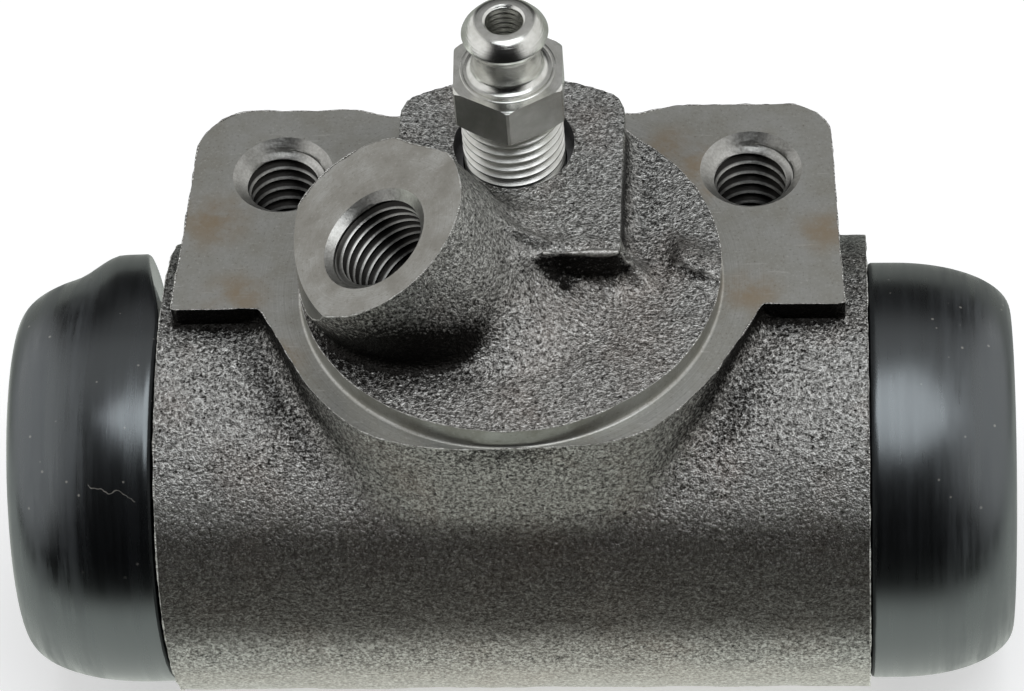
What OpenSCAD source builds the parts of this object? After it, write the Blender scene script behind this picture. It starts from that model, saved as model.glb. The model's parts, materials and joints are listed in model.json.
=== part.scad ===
// Wheel cylinder of a drum brake: a cast iron body with a through bore, a machined
// mounting face with a turned pilot and two tapped ears, a slanted inlet port and a
// bleeder screw. Rubber boots close both ends over two pistons with their rubber cups,
// cup expanders and one return spring.
// Frame: the mounting face is z = 0 and looks along +Z, the pilot's centre is the origin,
// +X runs along the bore and +Y points from the pilot towards the ears' far edge.
// All sizes are in millimetres.

/* [Bore and barrel] */
// Diameter of the bore
bore_d = 28.575; // [25.4:0.025:31.75]
// Wall of the cast barrel around the bore
barrel_wall = 7.4; // [6:0.1:9]
// Length of the barrel between its two end shoulders
barrel_len = 66; // [60:0.5:80]
// Height of the mounting face above the top line of the barrel
face_rise = 2.3; // [1:0.1:6]
// Place of the barrel's axis across the mounting face
barrel_y = -2.3; // [-4:0.1:0]
// How far the bore is off the cast barrel's axis, across the mounting face
cast_shift_y = 0.7; // [0:0.1:1.5]
// How far the bore is below the cast barrel's axis
cast_shift_z = 0.6; // [0:0.1:1.5]

/* [Neck for the boot] */
// Wall of the turned neck around the bore
neck_wall = 2.7; // [2:0.1:3.5]
// Length of the neck outside the barrel's shoulder
neck_len = 5; // [4:0.1:6]
// Width of the boot groove beside the shoulder
groove_w = 2.4; // [1.6:0.1:3]
// Depth of the boot groove
groove_depth = 0.8; // [0.4:0.1:1.2]

/* [Mounting flange] */
// Distance between the two tapped ear holes
ear_hole_spacing = 44.45; // [41:0.05:48]
// Place of the ear holes across the face
ear_hole_y = 13.9; // [11:0.1:16]
// Radius of the ear holes inside their thread
ear_hole_r = 3.3; // [2.6:0.05:4]
// Depth of the ear holes
ear_hole_depth = 11; // [8:0.5:12]
// Radius of the chamfer at the mouth of an ear hole
ear_chamfer_r = 4.8; // [4.2:0.1:5.2]
// Width over both ears at their front edge
ear_w = 62.6; // [58:0.2:70]
// Middle of the two ears, along the bore
ear_mid_x = -0.4; // [-1:0.1:1]
// Front edge of the ears, across the face
ear_front_y = -2.95; // [-6:0.05:0]
// Far edge of the ears, across the face
ear_back_y = 22.25; // [20:0.05:26]
// Radius of the ears' far corners
ear_corner_r = 4.6; // [3:0.1:6]
// Slant of the ears' outer edges, in degrees
ear_taper = 2.5; // [0:0.5:6]
// Thickness of the ears
ear_t = 13; // [13:0.5:16]
// Half the width of the shallow dip in the far edge
dip_half = 15.5; // [13:0.5:18]
// Depth of that dip
dip_depth = 1.05; // [0.5:0.05:1.5]

/* [Pilot] */
// Diameter of the turned pilot
pilot_d = 39.16; // [37:0.02:42]
// Height of the pilot above the mounting face
pilot_h = 2.3; // [1.5:0.1:3.5]
// How much less than the pilot the boss and the block on it are turned to, in radius
pilot_relief = 0.2; // [0.1:0.05:0.5]
// Width of the machined ring around the pilot
ring_w = 2.5; // [1.5:0.1:4]
// Width of the ring where the front flat passes the pilot
front_ring_w = 0.35; // [0.2:0.05:1]
// Half the width at which the ring flares into the ears
flare_half = 23.4; // [22.5:0.1:26]

/* [Bleeder] */
// Width of the cast block under the bleeder
block_w = 21.2; // [18:0.2:24]
// Front edge of the block, across the face
block_front_y = -2.9; // [-5:0.1:0]
// Height of the block above the mounting face
block_h = 7.4; // [5:0.1:9]
// Place of the bleeder along the bore
bleeder_x = 0.3; // [-3:0.1:3]
// Place of the bleeder across the face
bleeder_y = 10.8; // [9:0.1:12]
// Radius of the bleeder's thread
bleeder_thread_r = 4.7; // [4:0.05:5]
// Gap all round between the bleeder and its hole
bleeder_fit = 0.06; // [0.02:0.01:0.1]
// Depth of the bleeder's hole below the mounting face, to its seat
bleeder_depth = 6.8; // [5:0.1:9]
// Length of thread that stands out of the block
bleeder_stick_out = 5.55; // [4:0.05:8]
// Width of the bleeder's hexagon across its flats
bleeder_hex_af = 10; // [9:0.05:11]
// Height of the hexagon
bleeder_hex_h = 4.6; // [3.5:0.1:6]
// Height of the nipple above the hexagon
nipple_h = 6.4; // [5:0.1:9]
// Radius of the nipple's neck
nipple_neck_r = 3.2; // [2.8:0.05:3.5]
// Radius of the nipple's bulb
nipple_bulb_r = 4; // [3.6:0.05:4.4]
// Radius of the drilled passage in the bleeder
nipple_hole_r = 1.75; // [1.2:0.05:2]

/* [Inlet port] */
// Where the port's axis meets the top of the bore, along the bore
port_aim_x = -0.3; // [-3:0.1:3]
// Where the port's axis meets the top of the bore, across the face
port_aim_y = -2.6; // [-4:0.1:0]
// Slant of the port towards -X, in degrees
port_tilt = 27.8; // [20:0.2:34]
// Slant of the port towards -Y, in degrees
port_lean = 3.9; // [0:0.1:8]
// Length from the top of the bore to the port's face
port_reach = 24.5; // [22:0.1:28]
// Radius of the port's boss
port_boss_r = 9.75; // [8.5:0.05:11]
// How far the boss is off the port's axis
port_boss_shift = 1.1; // [0:0.1:2]
// Draft of the boss's side, in degrees
port_draft = 3.5; // [0:0.5:8]
// Radius of the port inside its thread
port_r = 4.27; // [3.8:0.01:4.8]
// Depth of the port
port_depth = 12; // [9:0.1:14]
// Radius of the chamfer at the port's mouth
port_chamfer_r = 5.38; // [5.2:0.02:6]
// Radius of the fluid passages to the bore
passage_r = 1.4; // [1:0.1:1.8]

/* [Boots] */
// Thickness of the boot around the neck
boot_lip = 2.9; // [2.2:0.1:4]
// Length of a boot outside the barrel's shoulder
boot_len = 13.7; // [12:0.1:17]
// Length of the rounded part of a boot
boot_round_len = 11; // [7:0.1:11.5]
// How much smaller a boot's end face is than its rim
boot_round_depth = 4.8; // [3:0.1:6]
// Thickness of a boot's end wall
boot_end_t = 3; // [2:0.1:4]
// Radius of the push rod hole in a boot
boot_hole_r = 7; // [6:0.1:9]
// Gap between a boot and the parts that it closes on
boot_fit = 0.15; // [0.1:0.05:0.3]
// How far the left boot sits askew, with its far rim off the shoulder, in degrees
boot_askew = 1.6; // [0:0.1:2.5]
// How much longer the left boot is drawn, with its lip out of its groove
boot_stretch = 0.8; // [0:0.1:1.5]

/* [Pistons, cups and spring] */
// Gap all round between a piston and the bore
piston_fit = 0.04; // [0.02:0.01:0.08]
// Length of a piston
piston_len = 16; // [12:0.5:18]
// Radius of the push rod socket in a piston
socket_r = 5; // [4:0.1:5.5]
// Depth of that socket
socket_depth = 7; // [5:0.5:9]
// Length of a rubber cup
cup_len = 8; // [6:0.5:9]
// Wall of a rubber cup
cup_wall = 2.2; // [1.6:0.1:3]
// Base thickness of a rubber cup
cup_base = 3; // [2:0.1:4]
// Gap between a cup and the bore, and between an expander and its cup
cup_fit = 0.08; // [0.05:0.01:0.2]
// Sheet thickness of a cup expander
expander_t = 1; // [0.6:0.1:1.4]
// Radius of the hole in a cup expander
expander_hole_r = 1.7; // [1:0.1:3]
// How far a cup's lip reaches past the rim of its expander
lip_reach = 1; // [0.5:0.1:1.5]
// Diameter of the spring's wire
wire_d = 1.4; // [1:0.1:2]
// Radius of the spring, to the middle of its wire
spring_r = 7.5; // [6:0.1:8.5]
// Number of turns in the spring
spring_turns = 8; // [6:1:10]

/* [Hidden] */
$fn = 96;
// A cut runs this far past the face that it opens
over = 1;
// Gap that keeps two neighbouring solids apart
clear = 0.3;
// Axes of the barrel and of the bore
bore_r = bore_d / 2;
barrel_r = bore_r + barrel_wall;
barrel_z = -face_rise - barrel_r;
bore_y = barrel_y - cast_shift_y;
bore_z = barrel_z - cast_shift_z;
shoulder_x = barrel_len / 2;
neck_r = bore_r + neck_wall;
neck_end_x = shoulder_x + neck_len;
neck_chamfer = 0.6;
// Mounting face
pilot_r = pilot_d / 2;
pad_r = pilot_r + ring_w;
pad_front = pilot_r + front_ring_w;
flare_end_angle = -25;
flare_sink = 0.6;
// The pedestal's foot ends inside the barrel
foot_sink = 3;
barrel_side = min(pad_front + barrel_y, barrel_r - over);
pad_depth = barrel_r + face_rise - sqrt(barrel_r * barrel_r - barrel_side * barrel_side) + foot_sink;
ear_corner_y = ear_back_y - ear_corner_r;
ear_side_run = (ear_corner_y + ear_corner_r * sin(ear_taper) - ear_front_y) * tan(ear_taper);
ear_corner_x = ear_w / 2 - ear_corner_r * cos(ear_taper) - ear_side_run;
dip_slope = 3.5;
// Point of the drills that made the blind holes: half its angle, and the radius of its web
drill_angle = 59;
web_r = 0.6;
// Bleeder and its seat
bleeder_hole_r = bleeder_thread_r + bleeder_fit;
bleeder_mouth_r = bleeder_thread_r + 1.05;
hex_bottom = block_h + bleeder_stick_out;
hex_top = hex_bottom + bleeder_hex_h;
nipple_top = hex_top + nipple_h;
bulb_h = 2.9;
bulb_lip = 1.55;
nipple_face_r = (nipple_bulb_r + nipple_hole_r) / 2;
relief_r = bleeder_thread_r - 1.3;
relief_len = 3;
seat_tip_r = 1;
bleeder_cross_r = 1;
// Port
port_aim = [port_aim_x, port_aim_y, bore_z + bore_r];
port_floor = port_reach - port_depth;
// Boots
boot_groove_r = neck_r - groove_depth;
boot_r = neck_r + boot_lip;
boot_rim_x = shoulder_x + boot_fit;
boot_end_x = shoulder_x + boot_len;
boot_inner_end_x = boot_end_x - boot_end_t;
boot_inner_r = neck_r + boot_fit;
boot_bead_w = groove_w - 2 * boot_fit;
boot_round_steps = 9;
// Pistons and what rides on them, from the boot inwards
piston_r = bore_r - piston_fit;
piston_out_x = boot_inner_end_x - clear;
piston_in_x = piston_out_x - piston_len;
piston_chamfer = 0.8;
cup_r = bore_r - cup_fit;
cup_in_x = piston_in_x - cup_len;
cup_floor_x = piston_in_x - cup_base;
cup_hollow_r = cup_r - cup_wall;
expander_rim_x = cup_in_x + lip_reach;
expander_seat_x = cup_floor_x - cup_fit;
expander_rim_r = cup_hollow_r - cup_fit;
expander_seat_r = spring_r + wire_d;
// Spring between the seats of the two expanders
spring_half = expander_seat_x - expander_t - wire_d / 2 - cup_fit;
wire_sides = 6;
turn_steps = 14;

// Puts children on the bore's axis, with their z along +X
module along_bore(x = 0) {
    translate([x, bore_y, bore_z]) rotate([0, 90, 0]) children();
}

// Puts children on the port's axis, with z out of the port and z = 0 at the top of the bore
module along_port() {
    translate(port_aim) rotate([port_lean, -port_tilt, 0]) children();
}

// Blind hole from z = 0 downwards, with a chamfered mouth and a drilled bottom
module blind_hole(r, depth, mouth_r) {
    translate([0, 0, -depth]) cylinder(h = depth + over, r = r);
    translate([0, 0, -depth - (r - web_r) / tan(drill_angle)])
        cylinder(h = (r - web_r) / tan(drill_angle), r1 = web_r, r2 = r);
    translate([0, 0, r - mouth_r]) cylinder(h = mouth_r - r, r1 = r, r2 = mouth_r);
    cylinder(h = over, r = mouth_r);
}

// Cast barrel and the two turned necks that carry the boots
module barrel() {
    translate([-shoulder_x, barrel_y, barrel_z]) rotate([0, 90, 0]) cylinder(h = barrel_len, r = barrel_r);
    for (side = [0, 1]) mirror([side, 0, 0]) along_bore() rotate_extrude() polygon([
        [0, shoulder_x - over], [boot_groove_r, shoulder_x - over], [boot_groove_r, shoulder_x + groove_w],
        [neck_r, shoulder_x + groove_w], [neck_r, neck_end_x - neck_chamfer],
        [neck_r - neck_chamfer, neck_end_x], [0, neck_end_x]
    ]);
}

// The two ears, one plate with slanted sides, round far corners and a dip between them
module ears() {
    side_y = ear_corner_y + ear_corner_r * sin(ear_taper);
    side_x = ear_corner_x + ear_corner_r * cos(ear_taper);
    right_edge = [
        [ear_w / 2, ear_front_y], [side_x, side_y], [ear_corner_x, ear_corner_y], [ear_corner_x, ear_back_y],
        [dip_half, ear_back_y], [dip_half - dip_slope, ear_back_y - dip_depth]
    ];
    left_edge = [for (i = [len(right_edge) - 1 : -1 : 0]) [-right_edge[i][0], right_edge[i][1]]];
    translate([ear_mid_x, 0, -ear_t]) {
        linear_extrude(ear_t) polygon(concat(right_edge, left_edge));
        for (s = [-1, 1]) translate([s * ear_corner_x, ear_corner_y, 0]) cylinder(h = ear_t, r = ear_corner_r);
    }
}

// Round pedestal that carries the front of the mounting face on the barrel
module pad() {
    flare_x = (pad_r - flare_sink) * cos(flare_end_angle);
    flare_y = (pad_r - flare_sink) * sin(flare_end_angle);
    intersection() {
        translate([0, 0, -pad_depth]) cylinder(h = pad_depth, r = pad_r);
        translate([-pad_r, -pad_front, -pad_depth]) cube([2 * pad_r, pad_front, pad_depth]);
    }
    translate([0, 0, -pad_depth]) linear_extrude(pad_depth) polygon([
        [-flare_half, ear_front_y], [-flare_x, flare_y], [flare_x, flare_y], [flare_half, ear_front_y], [0, 0]
    ]);
}

// Boss of the inlet port, drafted so that it widens towards its foot
module port_boss() {
    foot_r = port_boss_r + port_reach * tan(port_draft);
    along_port() translate([0, port_boss_shift, 0]) cylinder(h = port_reach, r1 = foot_r, r2 = port_boss_r);
}

// What stands on the mounting face: the pilot, and the block and the boss turned to its round
module pilot() {
    cylinder(h = pilot_h, r = pilot_r);
    intersection() {
        translate([0, 0, -over]) cylinder(h = port_reach, r = pilot_r - pilot_relief);
        union() {
            translate([-block_w / 2, block_front_y, -over]) cube([block_w, pilot_d, block_h + over]);
            port_boss();
        }
    }
}

// Tapped hole of the bleeder with its conical seat and the passage to the bore
module bleeder_hole() {
    seat_z = -bleeder_depth;
    seat_drop = bleeder_hole_r - seat_tip_r;
    mouth_drop = bleeder_mouth_r - bleeder_hole_r;
    seat_foot = [bleeder_x, bleeder_y, seat_z - seat_drop];
    to_bore = [0, bore_y - bleeder_y, bore_z - seat_foot[2]];
    translate([bleeder_x, bleeder_y, 0]) {
        translate([0, 0, seat_z]) cylinder(h = block_h - seat_z + over, r = bleeder_hole_r);
        translate([0, 0, seat_z - seat_drop]) cylinder(h = seat_drop, r1 = seat_tip_r, r2 = bleeder_hole_r);
        translate([0, 0, block_h - mouth_drop]) cylinder(h = mouth_drop, r1 = bleeder_hole_r, r2 = bleeder_mouth_r);
        translate([0, 0, block_h]) cylinder(h = port_reach, r = bleeder_mouth_r);
    }
    translate(seat_foot) rotate([atan2(-to_bore[1], to_bore[2]), 0, 0])
        cylinder(h = norm(to_bore), r = passage_r);
}

// Tapped inlet port, with the passage to the top of the bore
module port_hole() {
    along_port() {
        translate([0, 0, port_reach]) blind_hole(port_r, port_depth, port_chamfer_r);
        translate([0, 0, -bore_r / 2]) cylinder(h = port_floor + bore_r / 2, r = passage_r);
    }
}

module cylinder_body() {
    color([0.36, 0.36, 0.35]) difference() {
        union() {
            barrel();
            ears();
            pad();
            pilot();
        }
        along_bore(-neck_end_x - over) cylinder(h = 2 * (neck_end_x + over), r = bore_r);
        for (s = [-1, 1]) translate([s * ear_hole_spacing / 2, ear_hole_y, 0])
            blind_hole(ear_hole_r, ear_hole_depth, ear_chamfer_r);
        port_hole();
        bleeder_hole();
    }
}

module bleeder_screw() {
    tip_z = -bleeder_depth - bleeder_hole_r + seat_tip_r + clear * sqrt(2);
    cone_h = relief_r - seat_tip_r;
    relief_top = tip_z + cone_h + relief_len;
    drilled_to = tip_z + cone_h + relief_len / 2;
    color([0.78, 0.79, 0.80]) translate([bleeder_x, bleeder_y, 0]) difference() {
        union() {
            rotate_extrude() polygon([
                [0, tip_z], [seat_tip_r, tip_z], [relief_r, tip_z + cone_h], [relief_r, relief_top],
                [bleeder_thread_r, relief_top + bleeder_thread_r - relief_r], [bleeder_thread_r, hex_bottom],
                [nipple_neck_r, hex_bottom], [nipple_neck_r, nipple_top - bulb_h],
                [nipple_bulb_r, nipple_top - bulb_h + nipple_bulb_r - nipple_neck_r],
                [nipple_bulb_r, nipple_top - bulb_lip], [nipple_face_r, nipple_top], [0, nipple_top]
            ]);
            translate([0, 0, hex_bottom]) rotate([0, 0, 30])
                cylinder(h = bleeder_hex_h, r = bleeder_hex_af / sqrt(3), $fn = 6);
        }
        translate([0, 0, drilled_to]) cylinder(h = nipple_top - drilled_to + over, r = nipple_hole_r);
        translate([0, 0, drilled_to]) rotate([90, 0, 0])
            cylinder(h = 4 * relief_r, r = bleeder_cross_r, center = true);
    }
}

// One boot on the +X end. bead_r is the inner radius of its rim bead, and stretch makes it longer.
module boot(bead_r, stretch = 0) {
    end_x = boot_end_x + stretch;
    inner_end_x = boot_inner_end_x + stretch;
    round = [for (i = [0 : boot_round_steps]) let (a = 90 * i / boot_round_steps) [
        boot_r - boot_round_depth * (1 - cos(a)), end_x - boot_round_len * (1 - sin(a))
    ]];
    taper_x = inner_end_x - boot_lip;
    along_bore() rotate_extrude() polygon(concat(
        [[boot_r, boot_rim_x]], round,
        [
            [boot_hole_r, end_x], [boot_hole_r, inner_end_x],
            [boot_r - boot_round_depth, inner_end_x], [boot_inner_r, taper_x],
            [boot_inner_r, boot_rim_x + boot_bead_w], [bead_r, boot_rim_x + boot_bead_w], [bead_r, boot_rim_x]
        ]
    ));
}

module right_boot() {
    color([0.06, 0.06, 0.07]) boot(boot_groove_r + boot_fit);
}

// The left boot has come out of its groove on the far side and leans on its near rim
module left_boot() {
    pivot = [-boot_rim_x, bore_y - boot_r, bore_z];
    color([0.06, 0.06, 0.07]) translate(pivot) rotate([0, 0, boot_askew]) translate(-pivot)
        mirror([1, 0, 0]) boot(boot_inner_r, boot_stretch);
}

// One piston on the +X end, with the socket for a push rod
module piston() {
    socket_floor_x = piston_out_x - socket_depth - (socket_r - web_r) / tan(drill_angle);
    along_bore() rotate_extrude() polygon([
        [0, piston_in_x], [piston_r - piston_chamfer, piston_in_x], [piston_r, piston_in_x + piston_chamfer],
        [piston_r, piston_out_x - piston_chamfer], [piston_r - piston_chamfer, piston_out_x],
        [socket_r, piston_out_x], [socket_r, piston_out_x - socket_depth],
        [web_r, socket_floor_x], [0, socket_floor_x]
    ]);
}

module right_piston() {
    color([0.72, 0.73, 0.74]) piston();
}

module left_piston() {
    color([0.72, 0.73, 0.74]) mirror([1, 0, 0]) piston();
}

// One rubber cup on the +X end, its lip towards the middle of the bore
module cup() {
    along_bore() rotate_extrude() polygon([
        [0, cup_floor_x], [cup_hollow_r, cup_floor_x], [cup_hollow_r, cup_in_x + cup_wall / 2],
        [cup_r - cup_wall / 2, cup_in_x], [cup_r, cup_in_x], [cup_r, piston_in_x], [0, piston_in_x]
    ]);
}

module right_cup() {
    color([0.09, 0.09, 0.09]) cup();
}

module left_cup() {
    color([0.09, 0.09, 0.09]) mirror([1, 0, 0]) cup();
}

// One cup expander on the +X end: a dished washer that holds the cup's lip out
module expander() {
    along_bore() rotate_extrude() polygon([
        [expander_rim_r - expander_t, expander_rim_x], [expander_rim_r, expander_rim_x],
        [expander_rim_r, expander_seat_x], [expander_hole_r, expander_seat_x],
        [expander_hole_r, expander_seat_x - expander_t], [expander_seat_r, expander_seat_x - expander_t]
    ]);
}

module right_cup_expander() {
    color([0.60, 0.61, 0.62]) expander();
}

module left_cup_expander() {
    color([0.60, 0.61, 0.62]) mirror([1, 0, 0]) expander();
}

// Point at the middle of the spring's wire, t turns along it
function coil_point(t) = [
    spring_r * cos(360 * t), spring_r * sin(360 * t), (2 * t / spring_turns - 1) * spring_half
];

// Ring of points around the wire at t turns
function wire_ring(t) = [for (k = [0 : wire_sides - 1]) let (a = 360 * k / wire_sides) coil_point(t) + wire_d / 2 * [
    cos(a) * cos(360 * t), cos(a) * sin(360 * t), sin(a)
]];

module return_spring() {
    rings = spring_turns * turn_steps;
    points = [for (i = [0 : rings]) each wire_ring(i / turn_steps)];
    sides = [for (i = [0 : rings - 1], k = [0 : wire_sides - 1]) let (n = (k + 1) % wire_sides) [
        i * wire_sides + k, (i + 1) * wire_sides + k, (i + 1) * wire_sides + n, i * wire_sides + n
    ]];
    start = [[for (k = [0 : wire_sides - 1]) k]];
    end = [[for (k = [wire_sides - 1 : -1 : 0]) rings * wire_sides + k]];
    color([0.45, 0.46, 0.48]) along_bore() polyhedron(points, concat(sides, start, end));
}

cylinder_body();
bleeder_screw();
left_boot();
right_boot();
left_piston();
right_piston();
left_cup();
right_cup();
left_cup_expander();
right_cup_expander();
return_spring();
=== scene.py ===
"""Looks of a drum brake's wheel cylinder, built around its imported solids.

The body is made the way the real one is: a rough casting first, from smoothly joined distance
fields, and then the machining, with cutters that leave their own finish on what they cut.
Sizes are in millimetres until a mesh is made.
"""

import json
import math

import bpy
import numpy as np
from mathutils import Matrix, Vector, noise


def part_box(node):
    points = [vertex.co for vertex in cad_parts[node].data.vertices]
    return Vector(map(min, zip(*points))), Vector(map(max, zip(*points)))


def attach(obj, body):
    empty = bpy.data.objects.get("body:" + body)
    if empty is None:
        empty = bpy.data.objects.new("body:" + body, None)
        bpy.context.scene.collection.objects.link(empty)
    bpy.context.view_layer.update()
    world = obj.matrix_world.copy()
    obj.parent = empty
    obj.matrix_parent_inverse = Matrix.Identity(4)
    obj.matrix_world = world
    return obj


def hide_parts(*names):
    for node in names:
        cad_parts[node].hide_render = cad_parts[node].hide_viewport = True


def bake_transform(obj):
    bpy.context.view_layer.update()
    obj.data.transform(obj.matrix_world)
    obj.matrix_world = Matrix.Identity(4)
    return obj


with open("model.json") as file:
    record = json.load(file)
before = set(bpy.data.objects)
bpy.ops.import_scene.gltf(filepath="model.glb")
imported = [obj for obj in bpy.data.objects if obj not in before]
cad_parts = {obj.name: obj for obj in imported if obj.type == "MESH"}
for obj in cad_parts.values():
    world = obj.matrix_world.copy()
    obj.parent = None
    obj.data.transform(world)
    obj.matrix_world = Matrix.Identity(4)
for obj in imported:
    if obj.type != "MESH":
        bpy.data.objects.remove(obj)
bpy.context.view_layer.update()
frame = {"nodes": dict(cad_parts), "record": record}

MM = 0.001
MOUNTS = {m["name"]: m for m in frame["record"]["mounts"]}


def mount_place(name):
    """Place of a mount of the frame, in millimetres."""
    return np.array(MOUNTS[name]["pos_m"]) / MM


def node_box(name):
    """Lowest and highest corner of a solid of the frame, in millimetres."""
    low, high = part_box(name)
    return np.array(low) / MM, np.array(high) / MM


# Sizes that the frame gives
PILOT_R = MOUNTS["pilot"]["dims"]["r_mm"]
PILOT_H = MOUNTS["pilot"]["dims"]["length_mm"]
EAR_HOLE_X = MOUNTS["mounting_holes"]["dims"]["spacing_x_mm"] / 2
EAR_HOLE_Y = mount_place("mounting_holes")[1]
EAR_HOLE_R = MOUNTS["mounting_holes"]["dims"]["hole_r_mm"]
PORT_R = MOUNTS["inlet_port"]["dims"]["r_mm"]
PORT_AXIS = np.array(MOUNTS["inlet_port"]["axis"])
BORE_Y, BORE_Z = mount_place("right_push_rod_socket")[1:]
BLEEDER_X, BLEEDER_Y, NIPPLE_TOP = mount_place("bleed_nipple")
BODY_LOW, BODY_HIGH = node_box("cylinder_body")
NECK_END_X = BODY_HIGH[0]
BOOT_END_X = node_box("right_boot")[1][0]
BORE_LINE = ((0, BORE_Y, BORE_Z), (1, 0, 0))

# Barrel and bore
BARREL_R = 21.6875
BARREL_Y = BODY_LOW[1] + BARREL_R
BARREL_Z = BODY_LOW[2] + BARREL_R
BORE_R = 14.2875
SHOULDER_X = 33
NECK_R = BORE_R + 2.7
NECK_CHAMFER = 0.6
GROOVE_W = 2.4
GROOVE_DEPTH = 0.8

# Mounting face: two ears, and a round pedestal for the pilot with a flat front
EAR_W = 62.6
EAR_MID_X = -0.4
EAR_FRONT_Y = -2.95
EAR_BACK_Y = BODY_HIGH[1]
EAR_CORNER_R = {1: 4.6, -1: 5.8}
EAR_TAPER = math.radians(2.5)
EAR_T = 13
EAR_HOLE_DEPTH = 11
EAR_CHAMFER_R = 4.8
DIP_HALF = 15.5
DIP_DEPTH = 1.05
DIP_SLOPE = 3.5
PAD_R = PILOT_R + 2.5
PAD_FRONT = PILOT_R + 0.35
PAD_DEPTH = 14.4
PAD_CORNER_R = 2.5
FLARE_HALF = 23.4
FLARE_ANGLE = math.radians(-25)

# Block under the bleeder, with a flank that slopes down beside its front end
BLOCK_HALF = 10.6
BLOCK_FRONT_Y = -2.9
BLOCK_H = 7.4
BLOCK_CORNER_R = 1.4
FLANK_W = 3.2
FLANK_H = 4.3
FLANK_LEN = 3.5
FLANK_SET_BACK = 0.7
FLANK_SOFT = (0.2, 1.6)
FLANK_CURVE = 1.3
FLANK_FLAT = 0.5
BLOCK_PROUD = 0.05

# Raised patch that a core left on the rough top of the pilot, with a slanted front edge
PATCH_X = 16.2
PATCH_Y = -0.75
PATCH_SLANT = 0.5
PATCH_RISE = 1.15
PATCH_FADE = 0.14
PATCH_SPAN = (-3, 4)
PATCH_START = (-2.0, 0.3)
PATCH_EDGE = 0.35
PATCH_FLAT = 1.5
PATCH_LEN = 5.0

# Mouth of the bleeder's hole
MOUTH_R = 5.65
MOUTH_DEPTH = 2.2

# Inlet port, measured along its axis from the top of the bore
PORT_REACH = 24.5
PORT_FACE_AHEAD = 6.5
PORT_DEPTH = 12
PORT_CHAMFER_R = 5.38
PORT_BOSS_R = 9.75
PORT_BOSS_SHIFT = 1.6
PORT_BOSS_LEFT = 0.5
PORT_DRAFT = math.radians(3.5)
PASSAGE_R = 1.4
PORT_FACE = mount_place("inlet_port") + PORT_FACE_AHEAD * PORT_AXIS
PORT_FOOT = PORT_FACE - PORT_REACH * PORT_AXIS
PORT_SIDE = np.cross(PORT_AXIS, (1, 0, 0))
PORT_SIDE = PORT_SIDE / np.linalg.norm(PORT_SIDE)
PORT_LEFT = np.cross(PORT_AXIS, PORT_SIDE)

# Flat on the boss towards the bleeder: the way it faces, its place at a height, and its slope
BOSS_FLAT_WAY = (0.545, 0.838)
BOSS_FLAT_PLACE = -0.5
BOSS_FLAT_Z = 15
BOSS_FLAT_SLOPE = 0.3

# Casting: spare metal for the machining, fillets and the grid that it is sampled on
SPARE = 1.5
CAST_EDGE_R = 0.8
BARREL_FILLET = 1.6
EAR_FILLET = 0.4
BLOCK_FILLET = 1.8
BOSS_BLOCK_FILLET = 2.5
BOSS_FILLET_SMALL = 1.0
BOSS_FILLET_LARGE = 6.0
# Way from the boss to the block, and how far round from it the fillet changes
BOSS_TO_BLOCK = (0.97, 0.24)
BOSS_FILLET_TURN = (-0.1, 0.95)
GRID = 0.5
GRID_MARGIN = 3
# Unevenness of the cast skin: wavelength and height of each layer, and how far the whole lies back
SKIN_LAYERS = ((9.0, 0.16), (2.4, 0.07), (1.1, 0.05))
SKIN_BACK = 0.08

# Threads: pitch and outer radius, and the steps of their meshes
EAR_PITCH = 25.4 / 18
EAR_MAJOR_R = 3.97
FINE_PITCH = 25.4 / 24
PORT_MAJOR_R = 4.80
BLEEDER_MAJOR_R = 4.7625
BLEEDER_THREAD_DEPTH = 0.6
GROOVE_FLAT = 0.34
GROOVE_FLANK = 0.27
TURN_STEPS = 72
ROUND_STEPS = 192
DRILL_TIP = math.tan(math.radians(31))
# Tapped holes: inner and outer radius, pitch, depth and radius of the mouth; then place and axis
EAR_TAP = (EAR_HOLE_R, EAR_MAJOR_R, EAR_PITCH, EAR_HOLE_DEPTH, EAR_CHAMFER_R)
PORT_TAP = (PORT_R, PORT_MAJOR_R, FINE_PITCH, PORT_DEPTH, PORT_CHAMFER_R)
TAPS = [(EAR_TAP, (side * EAR_HOLE_X, EAR_HOLE_Y, 0), (0, 0, 1)) for side in (-1, 1)]
TAPS.append((PORT_TAP, PORT_FACE, PORT_AXIS))

# Cutters: how far they clear the casting, and the corner that they leave at the pilot's foot
CLEAR = 60
CLEAR_H = 40
PORT_FACING_R = 16
PORT_FACING_H = 12
PILOT_CORNER_R = 0.35
PASSAGE_BELOW = 4
PASSAGE_STEPS = 24
HOLE_GAP = 0.12
HOLE_TOP = 20
MOUTH_TOP = 30

# How far out hollows and edges of the casting are felt for, and how dark the shade painted into a hollow
# gets by its facing
HOLLOW_REACHES = (3, 6, 10, 16)
HOLLOW_SHADE = (0.5, 1.2)
HOLLOW_SPREAD = 7
BOSS_LEAN = 0.45
EDGE_REACH = 0.5
EDGE_SHARP = 1.5
# Depth over which the shade painted into a tapped hole builds up, and how far around it its points are
# taken
TAP_DARK = 14
TAP_MARGIN = 0.1
# Front wall of the block with the strip at its foot, which keeps little of the painted hollow shade, and
# the part of the wall that gets a painted shadow
WALL_X = (2, BLOCK_HALF + FLANK_W)
WALL_Y = (BLOCK_FRONT_Y - 4, BLOCK_FRONT_Y + 0.8)
WALL_LOW = 1.5
WALL_FOOT_SHADE = 0.1
WALL_DARK = 0.5
WALL_DARK_X = (1.8, 3.0)
WALL_DARK_Z = (3.2, 3.9)
WALL_DARK_TOP = BLOCK_H - 0.3
WALL_DARK_AHEAD = 0.4
WALL_DARK_SLANT = 0.35
WALL_EDGE_Z = BLOCK_H - 0.6

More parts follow.
